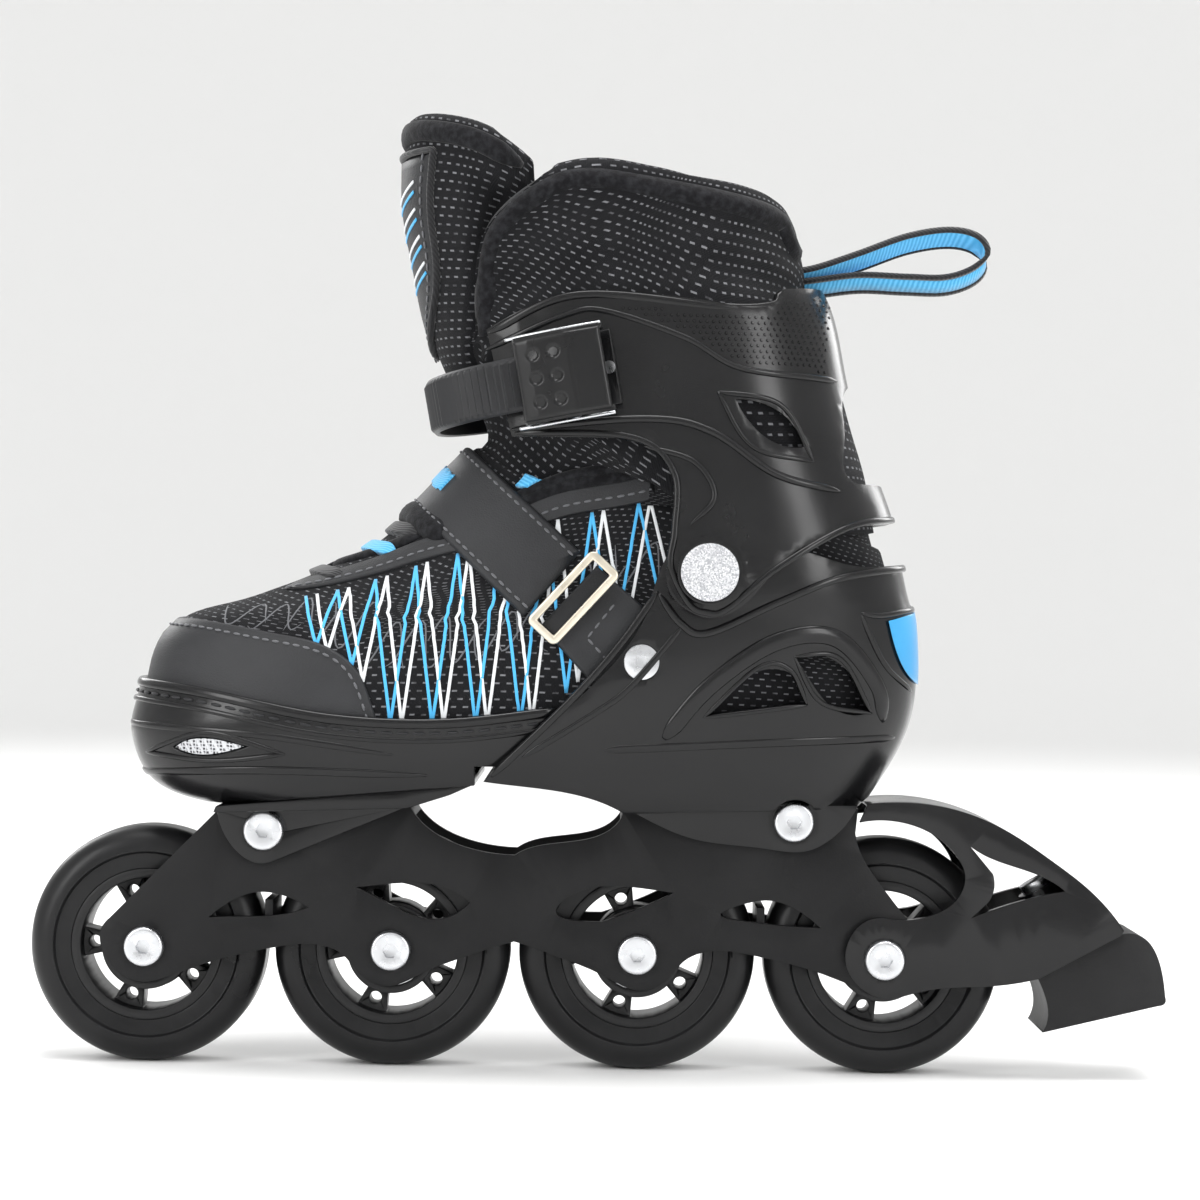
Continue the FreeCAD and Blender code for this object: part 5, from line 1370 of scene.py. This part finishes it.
def make_lever_plate():
    """Thumb plate of the buckle with six round dimples."""
    columns, rows = 60, 56
    x = np.linspace(-0.6, 25.4, columns)
    z = np.linspace(-12.0, 12.0, rows)
    grid_x, grid_z = np.meshgrid(x, z, indexing="ij")
    top = np.interp(grid_x, [-1.4, 0.0, 4.0, 15.6, 26.0], [-8.2, -9.3, -10.1, -9.9, -6.7])
    edge = np.minimum(np.minimum(grid_x + 0.6, 25.4 - grid_x), 12.0 - np.abs(grid_z))
    crown = 0.55 * np.sqrt(np.clip(1.0 - (1.0 - np.clip(edge / 1.6, 0.0, 1.0)) ** 2, 0.0, 1.0))
    dimple = np.zeros_like(grid_x)
    for centre_x in (5.2, 11.4):
        for centre_z in (-7.0, 0.0, 7.0):
            gap = np.hypot(grid_x - centre_x, grid_z - centre_z)
            dimple += 1.1 * (1.0 - smoothstep(gap, 0.9, 2.1))
    step = 0.5 * smoothstep(grid_x, 16.2, 17.0)
    outer = np.stack([grid_x, top - crown + dimple * 0.8 - step * 0.4, grid_z], axis=-1)
    inner = np.stack([grid_x, top + 0.25, grid_z], axis=-1)
    border = [(i, 0) for i in range(columns)] + [(columns - 1, j) for j in range(1, rows)]
    border += [(i, rows - 1) for i in range(columns - 2, -1, -1)] + [(0, j) for j in range(rows - 2, 0,
                                                                                           -1)]
    top_faces = grid_faces(columns, rows)
    total = columns * rows
    faces = top_faces + [tuple(total + corner for corner in face[::-1]) for face in top_faces]
    for here, after in zip(border, border[1:] + border[:1]):
        a = here[0] * rows + here[1]
        b = after[0] * rows + after[1]
        faces.append((a, b, total + b, total + a))
    batch = Batch()
    batch.add(moved(np.vstack([outer.reshape(-1, 3), inner.reshape(-1, 3)]), buckle_matrix()), faces)
    batch.piece("lever_thumb_plate", "buckle", "lever", "shell")


def make_buckle_wires():
    """Bright spring wires along the buckle's long edges."""
    batch = Batch()
    circle = np.array([(0.55 * math.cos(turn), 0.55 * math.sin(turn))
                       for turn in np.linspace(0.0, 2.0 * math.pi, 10, endpoint=False)])
    for edge in (-1.0, 1.0):
        line = [(-4.0, -3.4, 13.2 * edge), (2.0, -4.6, 13.3 * edge), (10.0, -5.0, 13.3 * edge),
                (18.0, -4.4, 13.3 * edge), (25.0, -2.8, 13.3 * edge)]
        path = even(smooth_line(line), 0.6)
        normal = np.repeat([[0.0, -1.0, 0.0]], len(path), 0)
        points, faces = sweep(path, normal, circle)
        batch.add(moved(points, buckle_matrix()), faces)
    batch.piece("buckle_springs", "steel", "cuff", "steel")


PULL_LOOP = [(56.0, 239.2), (64.6, 240.4), (78.0, 242.2), (92.3, 241.9), (104.6, 242.0), (113.2, 245.2),
             (116.4, 250.2), (113.0, 254.8), (104.6, 256.2), (92.3, 254.0), (78.0, 248.6),
             (64.6, 243.9), (56.0, 242.4)]


def make_pull_loop():
    """Ribbed blue webbing loop with black woven edges."""
    path = even(smooth_line([(x, 0.0, z) for x, z in PULL_LOOP]), 1.2)
    normals = np.cross(np.gradient(path, axis=0), [0.0, 1.0, -0.75])
    normals /= np.linalg.norm(normals, axis=1, keepdims=True)
    web = Batch()
    web.add(*sweep(path, normals, np.array(flat_band(6.2, 0.7, 0.7, 0.25))))
    loop = web.piece("pull_loop_web", "webbing", "cuff", "webbing")
    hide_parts("pull_loop")
    edges = Batch()
    for side in (-1.0, 1.0):
        profile = half_round(1.5, 0.85, 0.85, 6) + [3.6 * side, 0.0]
        edges.add(*sweep(path, normals, profile))
    edges.piece("pull_loop_edges", "black_web", "cuff", "webbing")


def make_insole():
    """Padded footbed that replaces the plain insole."""
    low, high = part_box("insole")
    lo, hi = np.array(low) / MM, np.array(high) / MM
    columns, rows = 64, 22
    share = np.linspace(0.0, 1.0, columns)
    half = (hi[1] - lo[1]) / 2.0 * (0.72 + 0.28 * np.sin(math.pi * (0.15 + 0.75 * (1.0 - share))))
    half *= np.sqrt(np.clip(1.0 - (2.0 * share - 1.0) ** 8, 0.0, 1.0)) + 0.02
    x = lo[0] + (hi[0] - lo[0]) * share
    across = np.linspace(-1.0, 1.0, rows)
    ground = np.interp(x, [-98.0, -60.0, -30.0, 0.0, 30.0, 72.0], [96.0, 100.2, 102.0, 98.0, 94.2, 94.4])
    grid_x = np.repeat(x[:, None], rows, 1)
    grid_y = half[:, None] * across[None, :]
    crown = 0.6 * (1.0 - across[None, :] ** 4) + 1.2 * across[None, :] ** 6
    top = np.stack([grid_x, grid_y, ground[:, None] - 0.6 + crown], axis=-1)
    bottom = np.stack([grid_x, grid_y, np.repeat(ground[:, None] - 2.8, rows, 1)], axis=-1)
    border = [(i, 0) for i in range(columns)] + [(columns - 1, j) for j in range(1, rows)]
    border += [(i, rows - 1) for i in range(columns - 2, -1, -1)] + [(0, j) for j in range(rows - 2, 0,
                                                                                           -1)]
    top_faces = grid_faces(columns, rows)
    total = columns * rows
    faces = top_faces + [tuple(total + corner for corner in face[::-1]) for face in top_faces]
    for here, after in zip(border, border[1:] + border[:1]):
        a = here[0] * rows + here[1]
        b = after[0] * rows + after[1]
        faces.append((a, b, total + b, total + a))
    batch = Batch()
    batch.add(np.vstack([top.reshape(-1, 3), bottom.reshape(-1, 3)]), faces)
    bed = batch.piece("footbed", "lining", "chassis", "lining")
    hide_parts("insole")



# ------------------------------ studio

def make_stage():
    """Round cove: a flat pale floor that curves up into a low wall."""
    flat_radius, cove_radius, wall = 2.4, 1.1, 0.9
    profile = [(0.0, 0.0), (0.6, 0.0), (flat_radius, 0.0)]
    for step in range(1, 13):
        turn = math.radians(90.0 * step / 12)
        profile.append((flat_radius + cove_radius * math.sin(turn), cove_radius * (1.0 - math.cos(turn))))
    profile.append((flat_radius + cove_radius, cove_radius + wall))
    spokes = 96
    vertices = []
    faces = []
    for radius, height in profile:
        for spoke in range(spokes):
            turn = 2.0 * math.pi * spoke / spokes
            vertices.append((radius * math.cos(turn), radius * math.sin(turn), height))
    for ring in range(len(profile) - 1):
        for spoke in range(spokes):
            following = (spoke + 1) % spokes
            row = ring * spokes
            faces.append((row + spoke, row + following, row + spokes + following, row + spokes + spoke))
    mesh = bpy.data.meshes.new("studio_floor")
    mesh.from_pydata(vertices, [], faces)
    for polygon in mesh.polygons:
        polygon.use_smooth = True
    floor = bpy.data.objects.new("studio_floor", mesh)
    bpy.context.scene.collection.objects.link(floor)
    mesh.materials.append(Finish("pale_paper", (0.86, 0.86, 0.855), 0.85, specular=0.2).material)


def area_light(name, place, target, width, height, power):
    light = bpy.data.lights.new(name, "AREA")
    light.shape = "RECTANGLE"
    light.size = width
    light.size_y = height
    light.energy = power
    lamp = bpy.data.objects.new(name, light)
    lamp.location = place
    lamp.rotation_euler = (Vector(target) - Vector(place)).to_track_quat("-Z", "Y").to_euler()
    bpy.context.scene.collection.objects.link(lamp)


def make_lights():
    middle = (0.0, 0.0, 0.14)
    area_light("overhead", (0.1, -0.2, 1.5), middle, 1.1, 0.7, 19.0)
    area_light("front_left", (-1.2, -1.1, 0.75), middle, 0.45, 1.1, 11.0)
    area_light("front_right", (1.15, -1.15, 0.6), middle, 0.35, 1.0, 7.5)
    area_light("back_left", (-1.0, 1.2, 0.9), middle, 0.6, 0.8, 8.0)
    area_light("back_right", (1.1, 1.1, 0.8), middle, 0.6, 0.8, 8.0)
    world = bpy.data.worlds.new("studio")
    world.use_nodes = True
    world.node_tree.nodes["Background"].inputs["Color"].default_value = (1.0, 1.0, 1.0, 1.0)
    world.node_tree.nodes["Background"].inputs["Strength"].default_value = 0.85
    bpy.context.scene.world = world
    bpy.context.scene.view_settings.view_transform = "Standard"


def make_camera():
    """Level view of the lateral side from a metre away, with the skate turned one degree clockwise."""
    camera = bpy.data.cameras.new("camera")
    camera.lens = 93.6
    camera.sensor_width = 36.0
    viewer = bpy.data.objects.new("camera", camera)
    place = Matrix.Translation((0.0, -0.96, 0.1431))
    viewer.matrix_world = place @ Matrix.Rotation(math.radians(90.0), 4,
                                                  "X") @ Matrix.Rotation(math.radians(1.0), 4, "Z")
    bpy.context.scene.collection.objects.link(viewer)
    bpy.context.scene.camera = viewer


dress_cad_nodes()
make_upper()
make_toe_cap()
make_line_art()
make_contours()
make_eyestay()
make_laces()
make_instep_strap()
make_ring_tabs()
make_ankle_liner()
make_collar()
make_tongue()
make_toe_trims()
make_rear_trims()
make_cuff_trims()
make_cuff_texture()
make_ladder_strap()
make_lever_plate()
make_buckle_wires()
make_pull_loop()
make_insole()
make_stage()
make_lights()
make_camera()
